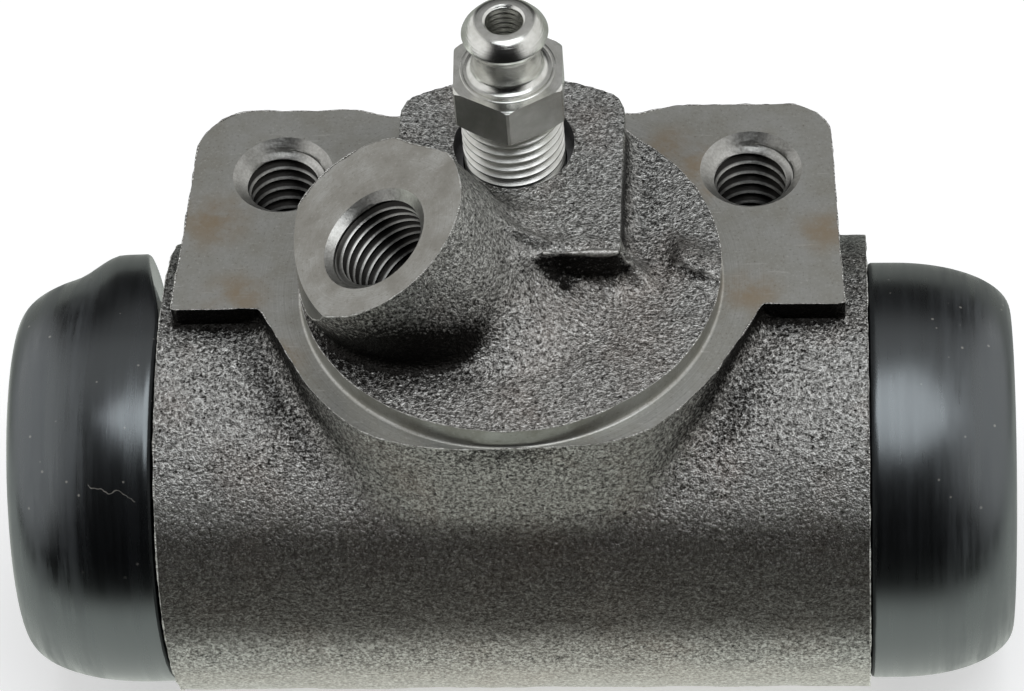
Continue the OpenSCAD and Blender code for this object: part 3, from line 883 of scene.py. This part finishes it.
def cast_iron():
    """Sand-cast iron: grey, with a sandy grain, painted glints and pits, browner low on its front, with a
    painted dark reflection along the barrel's front and a paler one below it. Hollows get painted shade,
    front edges are rubbed."""
    look = Look("cast_iron", Metallic=1.0)
    sand = look.plus(look.times(look.grain(0.34), 0.55), look.times(look.grain(0.17, seed=0.019), 0.45))
    lumps = look.grain(1.1)
    stain = look.grain(9, 3.0, 0.6)
    pits = look.ramp(look.grain(0.5, 3.0, 0.6, seed=0.007), (0.3, 1.0), (0.38, 0.0))
    grey = look.ramp(sand, (0.37, (0.11, 0.111, 0.106)), (0.5, (0.33, 0.33, 0.317)),
                     (0.63, (0.64, 0.64, 0.62)))
    brown = look.ramp(sand, (0.37, (0.105, 0.082, 0.07)), (0.5, (0.3, 0.257, 0.228)),
                      (0.63, (0.6, 0.555, 0.52)))
    low_front = look.near((0, BARREL_Y - BARREL_R, BARREL_Z), 55)
    rusty = look.plus(look.times(low_front, 0.45), look.ramp(stain, (0.5, 0.0), (0.72, 0.4)))
    skin = look.mix(rusty, grey, brown)
    skin = look.mix(pits, skin, (0.035, 0.032, 0.03))
    # Glints painted into the colour: scattered bright specks on the lighter grains
    glints = look.times(look.spots(0.4, 0.4, 0.2), look.ramp(sand, (0.45, 0.0), (0.6, 0.8)))
    skin = look.mix(glints, skin, (0.7, 0.7, 0.68))
    # A painted dark reflection along the barrel's front, where it would mirror the dim front, and a paler
    # skin below it, a painted reflection of the floor
    _, y, z = look.split(look.place)
    painted_dark_band = look.times(look.span(z, -26.5, -20.5, 0.0, 0.76), look.span(z, -13, -9, 1.0, 0.0))
    painted_dark_band = look.times(painted_dark_band, look.span(y, -19, -14, 1.0, 0.0))
    skin = look.mix(painted_dark_band, skin, (0.04, 0.034, 0.03))
    # Paler painted reflection of the floor, low on the barrel
    skin = look.mix(look.span(z, -31, -26, 0.3, 0.0), skin, (0.7, 0.64, 0.59))
    # Painted shade: the hollows, most where they face front or down, and the block's upper front wall go
    # near black
    shade = look.minus(look.marked("painted_hollow_shade"), look.times(look.minus(sand, 0.5), 0.9))
    skin = look.wash(skin, (0.012, 0.011, 0.01), shade, (0.14, 0.0), (0.44, 0.97))
    broken = look.ramp(lumps, (0.38, 0.15), (0.58, 1.0))
    rubbed = look.times(look.ramp(look.marked("edge"), (0.3, 0.0), (0.8, 0.7)), broken)
    skin = look.mix(rubbed, skin, (0.68, 0.67, 0.64))
    height = look.plus(look.times(sand, 0.7), look.times(lumps, 0.4))
    height = look.minus(height, look.times(pits, 0.2))
    return look.done(skin, look.ramp(sand, (0.38, 0.48), (0.62, 0.3)), height, 0.42)


def burr_iron():
    """Bright torn iron of the burr."""
    look = Look("burr_iron", Metallic=1.0)
    torn = look.grain(0.4, 3.0, 0.6)
    colour = look.ramp(torn, (0.35, (0.3, 0.29, 0.27)), (0.6, (0.78, 0.77, 0.74)))
    return look.done(colour, look.ramp(torn, (0.35, 0.5), (0.65, 0.3)))


# Stains on the mounting face: place and reach
STAINS = (((-25.7, -1.5, 0), 4.5), ((-21.4, -9.0, 0), 4.0), ((14.5, 17.0, 0), 3.5),
          ((17.4, 14.6, 0), 4.0), ((19.0, 11.8, 0), 3.0), ((22.4, -1.5, 0), 4.0),
          ((-28.5, 8.0, 0), 5.0), ((29.0, 6.0, 0), 4.0))


def machined(name, place, axis, warm, dull):
    """Iron turned about an axis: fine rings, fainter far out, specks, scratches and stains, with painted
    shade on walls that rise from the face. A dull one is dimmed by a film of oil."""
    look = Look(name, Metallic=1.0)
    radius = look.off_axis(place, axis)
    rings = look.lines(radius, 0.16, 5.0)
    wide_rings = look.lines(radius, 1.1, 2.0)
    smear = look.grain(3.5, 4.0, 0.65)
    speck = look.grain(0.3, 3.0, 0.7)
    scratch_place = look.vector("MULTIPLY", look.place, (0.12, 1.0, 1.0))
    scratch = look.grain(0.35, 1.0, 0.5, scratch_place, 0.031)
    far_out = look.span(radius, 21.5, 26, 0.0, 0.8)
    turned = look.ramp(rings, (0.3, (0.42, 0.42, 0.395)), (0.7, (0.51, 0.51, 0.485)))
    grey = look.mix(far_out, turned, (0.475, 0.475, 0.45))
    grey = look.wash(grey, (0.35, 0.338, 0.295), smear, (0.38, 0.0), (0.66, 0.75))
    grey = look.wash(grey, (0.19, 0.175, 0.145), speck, (0.58, 0.0), (0.7, 0.6))
    grey = look.wash(grey, (0.75, 0.75, 0.72), speck, (0.3, 0.4), (0.42, 0.0))
    grey = look.wash(grey, (0.8, 0.8, 0.77), scratch, (0.71, 0.0), (0.75, 0.25))
    # Painted shade: surfaces that rise from the face, such as the pilot's turned side, are darker
    grey = look.mix(look.span(look.rise(place, axis), 0.2, 0.8, 0.0, 0.45), grey, (0.09, 0.09, 0.08))
    if dull:
        grey = look.wash(grey, (0.2, 0.195, 0.18), smear, (0.3, 0.7 * dull), (0.7, dull))
    stained = warm
    for spot, reach in STAINS:
        stained = look.math("MAXIMUM", stained, look.near(spot, reach))
    stained = look.times(stained, look.ramp(smear, (0.34, 0.1), (0.56, 0.8)))
    colour = look.mix(stained, grey, (0.38, 0.295, 0.2))
    height = look.times(look.plus(look.times(rings, 0.5), wide_rings), look.minus(1.0, far_out))
    height = look.plus(height, look.times(speck, 0.8))
    return look.done(colour, look.ramp(smear, (0.3, 0.33), (0.7, 0.46)), height, 0.009)


def tapped_iron():
    """Cut thread in iron: bright crests, painted shade in the grooves and deeper in the hole, and a
    turned mouth.
    """
    look = Look("tapped_iron", Metallic=1.0)
    torn = look.grain(0.25, 3.0, 0.6)
    deep = look.marked("deep")
    grey = look.ramp(torn, (0.35, (0.46, 0.455, 0.43)), (0.65, (0.64, 0.635, 0.61)))
    # Painted shade: near black in the thread's grooves and towards the bottom of the hole
    grey = look.wash(grey, (0.01, 0.009, 0.008), look.marked("groove"), (0.03, 0.0), (0.35, 0.97))
    mouth = look.times(look.ramp(deep, (0.04, 0.75), (0.1, 0.0)), look.grain(0.7, 4.0, 0.7))
    grey = look.mix(mouth, grey, (0.14, 0.135, 0.12))
    grey = look.wash(grey, (0.016, 0.015, 0.014), deep, (0.15, 0.0), (0.8, 0.9))
    return look.done(grey, look.ramp(torn, (0.3, 0.3), (0.7, 0.42)), torn, 0.02)


def bored_iron():
    """Bored and turned iron on the hidden sides: fine rings along the bore."""
    look = Look("bored_iron", Metallic=0.95)
    rings = look.lines(look.off_axis(*BORE_LINE), 0.14, 5.0)
    mottle = look.grain(2.2, 4.0, 0.6)
    grey = look.ramp(mottle, (0.3, 0.13), (0.7, 0.24))
    return look.done(grey, look.ramp(mottle, (0.3, 0.32), (0.7, 0.45)), rings, 0.012)


def zinc_plate():
    """Bright zinc on turned steel: fine tool marks, a faint yellow cast and small stains."""
    look = Look("zinc_plate", Metallic=1.0)
    height = look.split(look.place)["Z"]
    marks = look.lines(height, 0.09)
    rings = look.lines(look.off_axis((BLEEDER_X, BLEEDER_Y, 0), (0, 0, 1)), 0.12)
    haze = look.grain(1.6, 4.0, 0.6)
    colour = look.ramp(haze, (0.3, (0.56, 0.56, 0.52)), (0.7, (0.75, 0.75, 0.72)))
    thread = look.span(height, 12.4, 13.0, 0.14, 0.0)
    rough = look.plus(look.ramp(haze, (0.3, 0.26), (0.7, 0.16)), thread)
    return look.done(colour, rough, look.plus(marks, rings), 0.01)


# A fibre that lies across the left boot: its middle along and around the boot, and its lie
FIBRE = (-37.2, -15.0)
FIBRE_HALF = 2.2
FIBRE_SLANT = 0.35
FIBRE_HALF_W = 0.04
FIBRE_WAVER = 2.2


def boot_rubber(name, polish, fibre):
    """Moulded black rubber: satin, rubbed in streaks around its shoulder, with dust on it."""
    look = Look(name, Specular_IOR_Level=1.0, IOR=1.7, Specular_Tint=(0.9, 0.97, 1.0, 1))
    along, y, z = look.split(look.off((0, BORE_Y, BORE_Z)))
    turn = look.math("ARCTAN2", y, z)
    streak_place = look.add("CombineXYZ", X=along, Y=look.times(turn, 1.2 * MM)).outputs[0]
    streaks = look.grain(0.7, 5.0, 0.65, streak_place)
    cloud = look.grain(4.0, 4.0, 0.6)
    fine = look.grain(0.22)
    shoulder = look.span(look.math("ABSOLUTE", along), 38.5, 42.5, 0.25, 1.0)
    bands = look.lines(along, 1.9, 2.0)
    rubbed = look.plus(look.times(streaks, 0.45), look.times(cloud, 0.2))
    rubbed = look.plus(rubbed, look.times(bands, 0.35))
    rubbed = look.times(look.ramp(rubbed, (0.43, 0.0), (0.6, 1.0)), shoulder)
    black = look.mix(rubbed, (0.001, 0.001, 0.0013), (0.011, 0.012, 0.015))
    dust = look.times(look.spots(1.3, 0.13, 0.35, 0.013), look.span(z, 6, 14, 0.0, 1.0))
    if fibre:
        dust = look.math("MAXIMUM", dust, fibre_mask(look, along, turn))
    colour = look.mix(dust, black, (0.2, 0.19, 0.17))
    height = look.plus(look.times(streaks, 0.5), look.times(fine, 0.12))
    return look.done(colour, look.plus(1 - polish, look.times(rubbed, 0.2)), height, 0.02)


def fibre_mask(look, along, turn):
    """1 on the fibre, a thin wavy line that lies slanted."""
    waver = look.times(look.minus(look.grain(1.8), 0.5), FIBRE_WAVER * MM)
    off_x = look.minus(along, FIBRE[0] * MM)
    off_y = look.minus(look.times(turn, BOOT_R * MM), FIBRE[1] * MM)
    lean = look.plus(look.plus(off_y, look.times(off_x, FIBRE_SLANT)), waver)
    thin = look.math("LESS_THAN", look.math("ABSOLUTE", lean), FIBRE_HALF_W * MM)
    return look.times(thin, look.math("LESS_THAN", look.math("ABSOLUTE", off_x), FIBRE_HALF * MM))


def piston_alloy():
    """Anodised aluminium, turned, with a dull even sheen."""
    look = Look("piston_alloy", Metallic=1.0)
    rings = look.lines(look.off_axis(*BORE_LINE), 0.18)
    haze = look.grain(2.5, 4.0, 0.6)
    colour = look.ramp(haze, (0.3, (0.46, 0.46, 0.45)), (0.7, (0.6, 0.6, 0.6)))
    return look.done(colour, look.ramp(rings, (0.3, 0.3), (0.7, 0.42)), rings, 0.02)


def cup_rubber():
    """Matt black moulded rubber of the cups, damp with fluid in places."""
    look = Look("cup_rubber")
    damp = look.grain(3.0, 3.0, 0.6)
    black = look.ramp(damp, (0.3, 0.012), (0.7, 0.03))
    return look.done(black, look.ramp(damp, (0.35, 0.3), (0.65, 0.6)), look.grain(0.25), 0.01)


def spring_steel():
    """Plain spring and sheet steel, drawn and a little dull."""
    look = Look("spring_steel", Metallic=1.0)
    scale = look.grain(1.2, 4.0, 0.6)
    grey = look.ramp(scale, (0.3, (0.25, 0.255, 0.27)), (0.7, (0.42, 0.42, 0.43)))
    return look.done(grey, look.ramp(scale, (0.3, 0.26), (0.7, 0.42)), look.grain(0.3), 0.01)


# Bleeder screw

HEX_AF = 10
HEX_H = 4.6
HEX_TURN = math.radians(1.6)
HEX_EDGE = 0.16
# Radius and height of the chamfers turned on the hexagon's lower and upper end
HEX_LOWER = (4.85, 0.42)
HEX_UPPER = (5.45, 0.32)
NIPPLE_H = 6.4
NIPPLE_NECK_R = 3.15
NIPPLE_FOOT_R = 4.1
NIPPLE_HOLE_R = 1.75
# Foot of the nipple as radius and height above the hexagon, its bulb as radius and depth below its top
NIPPLE_FOOT = [(0, -1.0), (4.45, -1.0), (4.45, 0.06), (4.3, 0.12), (4.2, 0.12)]
NIPPLE_BULB = [(NIPPLE_NECK_R, 3.1), (3.3, 2.85), (3.45, 2.6), (3.75, 2.2), (3.95, 1.8), (4.0, 1.55),
               (3.9, 1.3), (3.55, 0.8), (3.15, 0.3), (2.85, 0.1), (2.55, 0), (1.95, 0), (1.7, 0.2),
               (0, 0.2)]
NIPPLE_FILLET_Z = 0.08
NIPPLE_STEPS = 96
HEX_TOP = NIPPLE_TOP - NIPPLE_H
HEX_BOTTOM = HEX_TOP - HEX_H
# Shank: height of its relief under the hexagon, its thread's crest and flank, and its pointed tip
RELIEF_H = 0.35
CREST_HALF = 0.07
CREST_FLANK = 0.3
BLEEDER_TIP = -9.0
TIP_CUT = 1.3
TIP_TOP = -4
# Drilled passage: its bottom, and the pitch and depth of the marks that the drill left
DRILL_BOTTOM = -4.0
DRILL_PITCH = 0.62
DRILL_MARK = 0.12


def hexagon(material):
    """Hexagon about z with a corner towards -Y, broken edges and a chamfer turned on each end."""
    corner_r = HEX_AF / math.sqrt(3)
    ring = []
    for k in range(6):
        a = math.radians(60 * k + 30) + HEX_TURN
        for b in (a - math.radians(120), a + math.radians(120)):
            ring.append((corner_r * math.cos(a) + HEX_EDGE * math.cos(b),
                         corner_r * math.sin(a) + HEX_EDGE * math.sin(b)))
    count = len(ring)
    points = [(x, y, z) for z in (HEX_BOTTOM - 1, HEX_TOP + 1) for x, y in ring]
    faces = [[k, (k + 1) % count, count + (k + 1) % count, count + k] for k in range(count)]
    faces += [list(range(count - 1, -1, -1)), list(range(count, 2 * count))]
    made = make_object("hexagon", points, faces, material)
    blank_r = corner_r + 0.1
    blank = [(0, HEX_BOTTOM), (HEX_LOWER[0], HEX_BOTTOM), (blank_r, HEX_BOTTOM + HEX_LOWER[1]),
             (blank_r, HEX_TOP - HEX_UPPER[1]), (HEX_UPPER[0], HEX_TOP), (0, HEX_TOP)]
    combine(made, revolve("hexagon_blank", blank, material), "INTERSECT")
    return made


def bleeder():
    """Bleeder screw: cut thread, hexagon, necked hose nipple and its drilled passage."""
    zinc = zinc_plate()
    relief_z = HEX_BOTTOM - RELIEF_H
    root_r = BLEEDER_MAJOR_R - BLEEDER_THREAD_DEPTH

    def shank_radius(phase, z):
        off_crest = np.abs((phase + 0.5) % 1 - 0.5)
        drop = np.clip((off_crest - CREST_HALF) / CREST_FLANK, 0, 1)
        thread = BLEEDER_MAJOR_R - BLEEDER_THREAD_DEPTH * drop
        tip = BLEEDER_MAJOR_R - TIP_CUT + np.maximum(z - TIP_TOP, 0)
        return np.minimum(np.minimum(thread, tip), np.where(z > relief_z, root_r, BLEEDER_MAJOR_R))

    def drill_radius(phase, z):
        return NIPPLE_HOLE_R - DRILL_MARK / 2 + DRILL_MARK * np.abs((phase % 1) * 2 - 1)

    screw = helical_solid("bleeder_screw_detail", shank_radius, BLEEDER_TIP, HEX_BOTTOM + 0.4, FINE_PITCH,
                          zinc, rows_a_turn=16)
    combine(screw, hexagon(zinc), "UNION")
    fillet = NIPPLE_FOOT_R - NIPPLE_NECK_R
    neck = [(NIPPLE_FOOT_R - fillet * math.sin(a), NIPPLE_FILLET_Z + fillet * (1 - math.cos(a)))
            for a in np.radians(range(0, 91, 15))]
    profile = NIPPLE_FOOT + neck + [(r, NIPPLE_H - down) for r, down in NIPPLE_BULB]
    nipple = revolve("nipple", [(r, HEX_TOP + z) for r, z in profile], zinc, NIPPLE_STEPS)
    combine(screw, nipple, "UNION")
    drill = helical_solid("drill", drill_radius, DRILL_BOTTOM, NIPPLE_TOP + 1, DRILL_PITCH, zinc)
    combine(screw, drill, "DIFFERENCE")
    place_mesh(screw, (BLEEDER_X, BLEEDER_Y, 0))
    sharpen(screw, 25)
    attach(screw, "bleeder")
    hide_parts("bleeder_screw")


# Boots

BOOT_R = NECK_R + 2.9
BOOT_RIM_X = SHOULDER_X + 0.15
BOOT_ROUND_LEN = 11
BOOT_ROUND_DEPTH = 4.8
BOOT_END_T = 3
BOOT_HOLE_R = 7
BOOT_INNER_R = NECK_R + 0.15
BOOT_BEAD_W = 2.1
BOOT_SOFT = 0.35
BOOT_WAVE = 7.0
BOOT_WAVE_H = 0.06
# The left boot is stretched and leans on its near rim; its far rim is drawn off and flared
LEAN = math.tan(math.radians(1.6))
LEFT_END_X = -node_box("left_boot")[0][0] - LEAN * (BOOT_R - BOOT_ROUND_DEPTH)
LEFT_SAG = 0.4
FAR_ANGLE = math.radians(8)
FAR_SPAN = math.radians(78)
RIM_GAP = 0.35
RIM_BACK = 2.9
FLARE_OUT = 1.75
FLARE_FROM = 7.2
FLARE_TO = 2.6


def boot_profile(bead_r):
    """Section of a boot as (radius, distance along the bore) points, counterclockwise."""
    inner_x = BOOT_END_X - BOOT_END_T
    rim = [(bead_r, BOOT_RIM_X), (BOOT_R - BOOT_SOFT, BOOT_RIM_X),
           (BOOT_R - BOOT_SOFT / 3, BOOT_RIM_X + BOOT_SOFT / 3), (BOOT_R, BOOT_RIM_X + BOOT_SOFT)]
    sides = [(BOOT_R, BOOT_RIM_X + BOOT_SOFT + i * 0.45) for i in range(1, 5)]
    bend = [(BOOT_R - BOOT_ROUND_DEPTH * (1 - math.cos(a)),
             BOOT_END_X - BOOT_ROUND_LEN * (1 - math.sin(a))) for a in np.radians(np.linspace(0, 90, 22))]
    flat = [(r, BOOT_END_X) for r in np.linspace(BOOT_R - BOOT_ROUND_DEPTH - 1, BOOT_HOLE_R + 1.6, 5)]
    lip = [(BOOT_HOLE_R + 1.0 + 0.6 * math.cos(a), BOOT_END_X - 0.25 + 0.25 * math.sin(a))
           for a in np.radians(range(30, 181, 30))]
    hole = [(BOOT_HOLE_R, BOOT_END_X - 0.8), (BOOT_HOLE_R, inner_x + 0.3), (BOOT_HOLE_R + 0.3, inner_x)]
    inside = [(BOOT_R - BOOT_ROUND_DEPTH, inner_x), (BOOT_INNER_R, inner_x - 2.9)]
    if bead_r < BOOT_INNER_R:
        inside += [(BOOT_INNER_R, BOOT_RIM_X + BOOT_BEAD_W), (bead_r, BOOT_RIM_X + BOOT_BEAD_W)]
    return rim + sides + bend + flat + lip + hole + inside


def boot(side, node, bead_r, polish, fibre):
    """One boot, on the +X end for side 1 and on the -X end for side -1."""
    made = revolve(node + "_detail", boot_profile(bead_r), boot_rubber(node + "_rubber", polish, fibre))
    points = np.array([v.co for v in made.data.vertices]) / MM
    # Onto the bore's axis: local z becomes the way out, and the section stays a right-handed one
    points = np.stack([side * points[:, 2], side * points[:, 0], points[:, 1]], 1)
    if side < 0:
        points = draw_off(points)
    waves = np.array([noise.noise(Vector(p)) for p in points / BOOT_WAVE])
    points[:, 1:] *= (1 + BOOT_WAVE_H * waves / BOOT_R)[:, None]
    points += (0, BORE_Y, BORE_Z)
    made.data.vertices.foreach_set("co", (points * MM).ravel())
    made.data.update()
    sharpen(made, 50)
    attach(made, "housing")
    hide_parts(node)


def draw_off(points):
    """Stretches the left boot, leans it, and draws its far rim back from the shoulder."""
    angle = np.arctan2(points[:, 2], points[:, 1])
    radius = np.hypot(points[:, 1], points[:, 2])
    far = smooth_step(math.cos(FAR_SPAN), 1, np.cos(angle - FAR_ANGLE))
    share = (-points[:, 0] - BOOT_RIM_X) / (BOOT_END_X - BOOT_RIM_X)
    rim_x = BOOT_RIM_X + RIM_GAP + RIM_BACK * far
    from_rim = (LEFT_END_X + LEAN * points[:, 1] - rim_x) * share
    flare = 1 + FLARE_OUT * far * smooth_step(FLARE_FROM, FLARE_TO, from_rim) / radius
    return np.stack([-rim_x - from_rim, points[:, 1] * flare - LEFT_SAG * share, points[:, 2] * flare], 1)


# Return spring

SPRING_R = 7.5
SPRING_TURNS = 8
WIRE_R = 0.7
WIRE_SIDES = 14
COIL_STEPS = 48
# The solid's wire has six sides, so its ends lie this far past the middle of the wire
SPRING_HALF = node_box("return_spring")[1][0] - WIRE_R * math.sin(math.radians(60))


def coil(name, first, last, material):
    """Part of the spring's wire, from one turn to another, about the bore's axis."""
    turns = np.linspace(first, last, (last - first) * COIL_STEPS + 1)[:, None]
    around = 2 * math.pi * np.arange(WIRE_SIDES) / WIRE_SIDES
    radius = SPRING_R + WIRE_R * np.cos(around)
    along = (2 * turns / SPRING_TURNS - 1) * SPRING_HALF + WIRE_R * np.sin(around)
    angle = 2 * math.pi * turns
    points = np.stack([along, BORE_Y + radius * np.sin(angle), BORE_Z - radius * np.cos(angle)], -1)
    index = np.arange(points.size // 3).reshape(len(turns), WIRE_SIDES)
    after = np.roll(index, -1, 1)
    faces = np.stack([index[:-1], index[1:], after[1:], after[:-1]], -1).reshape(-1, 4).tolist()
    faces += [index[0].tolist(), index[-1, ::-1].tolist()]
    return make_object(name, points.reshape(-1, 3), faces, material)


def spring(material):
    """Return spring in two halves that meet in the middle."""
    middle = SPRING_TURNS // 2
    for side, name, body, first in ((-1, "return_spring_left", "left_piston_set", 0),
                                    (1, "return_spring_right", "right_piston_set", middle)):
        made = coil(name, first, first + middle, material)
        sharpen(made)
        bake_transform(made)
        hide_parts("return_spring")


# Stage

FLOOR_Z = BODY_LOW[2] - 0.15
FLOOR_LIFT = 0.45
FLOOR_DARK_Y = -110
FLOOR_WHITE_Y = -50
FLOOR_BACK_Y = 20
FLOOR_DIM_Y = 75
FLOOR_HALF = 20000
PHOTO_W = 1024
FOCAL_PX = 4712.0
SENSOR = 36
CAMERA_PLACE = (28.82, -285.71, 330.87)
CAMERA_ROLL, CAMERA_TILT, CAMERA_YAW = (math.radians(a) for a in (-2.595, -39.941, -4.919))
# Tent: how bright its dark front, its back above and low down, and its sides are
TENT_DARK = 0.008
TENT_BACK = 0.46
TENT_LOW = 0.04
TENT_SIDE = 0.95
# Lamp overhead, in metres
LAMP_PLACE = (0.076, -0.08, 0.6)
LAMP_SIZE = (0.44, 0.46)
LAMP_POWER = 1.7
LAMP_COLOUR = (0.94, 0.97, 1.0)


def camera():
    """Camera at the photograph's place."""
    lens = bpy.data.cameras.new("camera")
    lens.sensor_width = SENSOR
    lens.lens = FOCAL_PX * SENSOR / PHOTO_W
    lens.clip_start = 0.01
    view = (Matrix.Rotation(CAMERA_ROLL, 3, "Z") @ Matrix.Rotation(CAMERA_TILT, 3, "X")
            @ Matrix.Rotation(CAMERA_YAW, 3, "Y"))
    made = show("camera", lens)
    made.matrix_world = Matrix.Translation(Vector(CAMERA_PLACE) * MM) @ view.transposed().to_4x4()
    bpy.context.scene.camera = made


def floor():
    """Pale floor under the barrel, white to the camera where no shadow falls. In reflections it is
    white too, and fades towards the dim front and back."""
    look = Look("floor_paper", Roughness=0.9, Specular_IOR_Level=0.1)
    look.set(look.shader, Base_Color=look.ramp(look.grain(40, 2.0), (0.3, 0.80), (0.7, 0.82)))
    path = look.add("LightPath").outputs
    seen = look.add("Emission", Strength=look.times(path["Is Camera Ray"], FLOOR_LIFT))
    front = look.split(look.place)["Y"]
    fade = look.times(look.span(front, FLOOR_DARK_Y, FLOOR_WHITE_Y, 0.02, 1.0),
                      look.span(front, FLOOR_BACK_Y, FLOOR_DIM_Y, 1.0, 0.4))
    mirrored = look.add("Emission", Color=(0.95, 1.0, 0.93, 1), Strength=fade)
    direct = look.join("AddShader", look.shader.outputs[0], seen.outputs[0])
    bounced = look.math("MAXIMUM", path["Is Glossy Ray"], path["Is Transmission Ray"])
    both = look.add("MixShader", Fac=bounced)
    look.plug(both.inputs[1], direct[0])
    look.plug(both.inputs[2], mirrored.outputs[0])
    look.set(look.tree.nodes["Material Output"], Surface=both.outputs[0])
    points = [(x * FLOOR_HALF, y * FLOOR_HALF, FLOOR_Z) for x, y in ((-1, -1), (1, -1), (1, 1), (-1, 1))]
    make_object("floor", points, [[0, 1, 2, 3]], look.material, smooth=False)


def lamp():
    """Soft lamp overhead, aimed at the object."""
    light = bpy.data.lights.new("overhead", "AREA")
    light.shape = "RECTANGLE"
    light.size, light.size_y = LAMP_SIZE
    light.energy = LAMP_POWER
    light.color = LAMP_COLOUR
    made = show("overhead", light)
    made.location = LAMP_PLACE
    made.rotation_mode = "QUATERNION"
    made.rotation_quaternion = (-Vector(LAMP_PLACE)).to_track_quat("-Z", "Y")


def tent():
    """Soft light from around: white sides and a grey back, dark in front."""
    world = bpy.data.worlds.new("studio")
    world.use_nodes = True
    nodes = Nodes(world.node_tree)
    x, y, z = nodes.split(nodes.add("TexCoord").outputs["Generated"])
    back = nodes.change(z, 0.38, 0.8, TENT_LOW, TENT_BACK)
    level = nodes.change(y, -0.25, 0.35, TENT_DARK, back)
    level = nodes.change(nodes.math("ABSOLUTE", x), 0.42, 0.62, level, TENT_SIDE)
    level = nodes.change(y, -0.85, -0.5, TENT_DARK, level)
    nodes.set(world.node_tree.nodes["Background"], Color=(1, 1, 1, 1), Strength=level)
    bpy.context.scene.world = world


bpy.context.scene.view_settings.view_transform = "Standard"
iron = cast_iron()
body = casting(iron)
machine(body,
        machined("faced_iron", (0, 0, 0), (0, 0, 1), 0.0, 0.0),
        machined("port_faced_iron", PORT_FACE, PORT_AXIS, 0.05, 0.65),
        tapped_iron(), bored_iron())
body_points = np.array([v.co for v in body.data.vertices]) / MM
burr(body.data, body_points, burr_iron())
mark_shade_and_edges(body.data, body_points)
mark_threads(body.data, body_points)
sharpen(body)
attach(body, "housing")
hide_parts("cylinder_body")
bleeder()
boot(1, "right_boot", NECK_R - GROOVE_DEPTH + 0.15, 0.73, False)
boot(-1, "left_boot", BOOT_INNER_R, 0.77, True)
steel = spring_steel()
spring(steel)
for names, look in ((("left_piston", "right_piston"), piston_alloy()),
                    (("left_cup", "right_cup"), cup_rubber()),
                    (("left_cup_expander", "right_cup_expander"), steel)):
    for name in names:
        frame["nodes"][name].data.materials.clear()
        frame["nodes"][name].data.materials.append(look)
camera()
floor()
tent()
lamp()
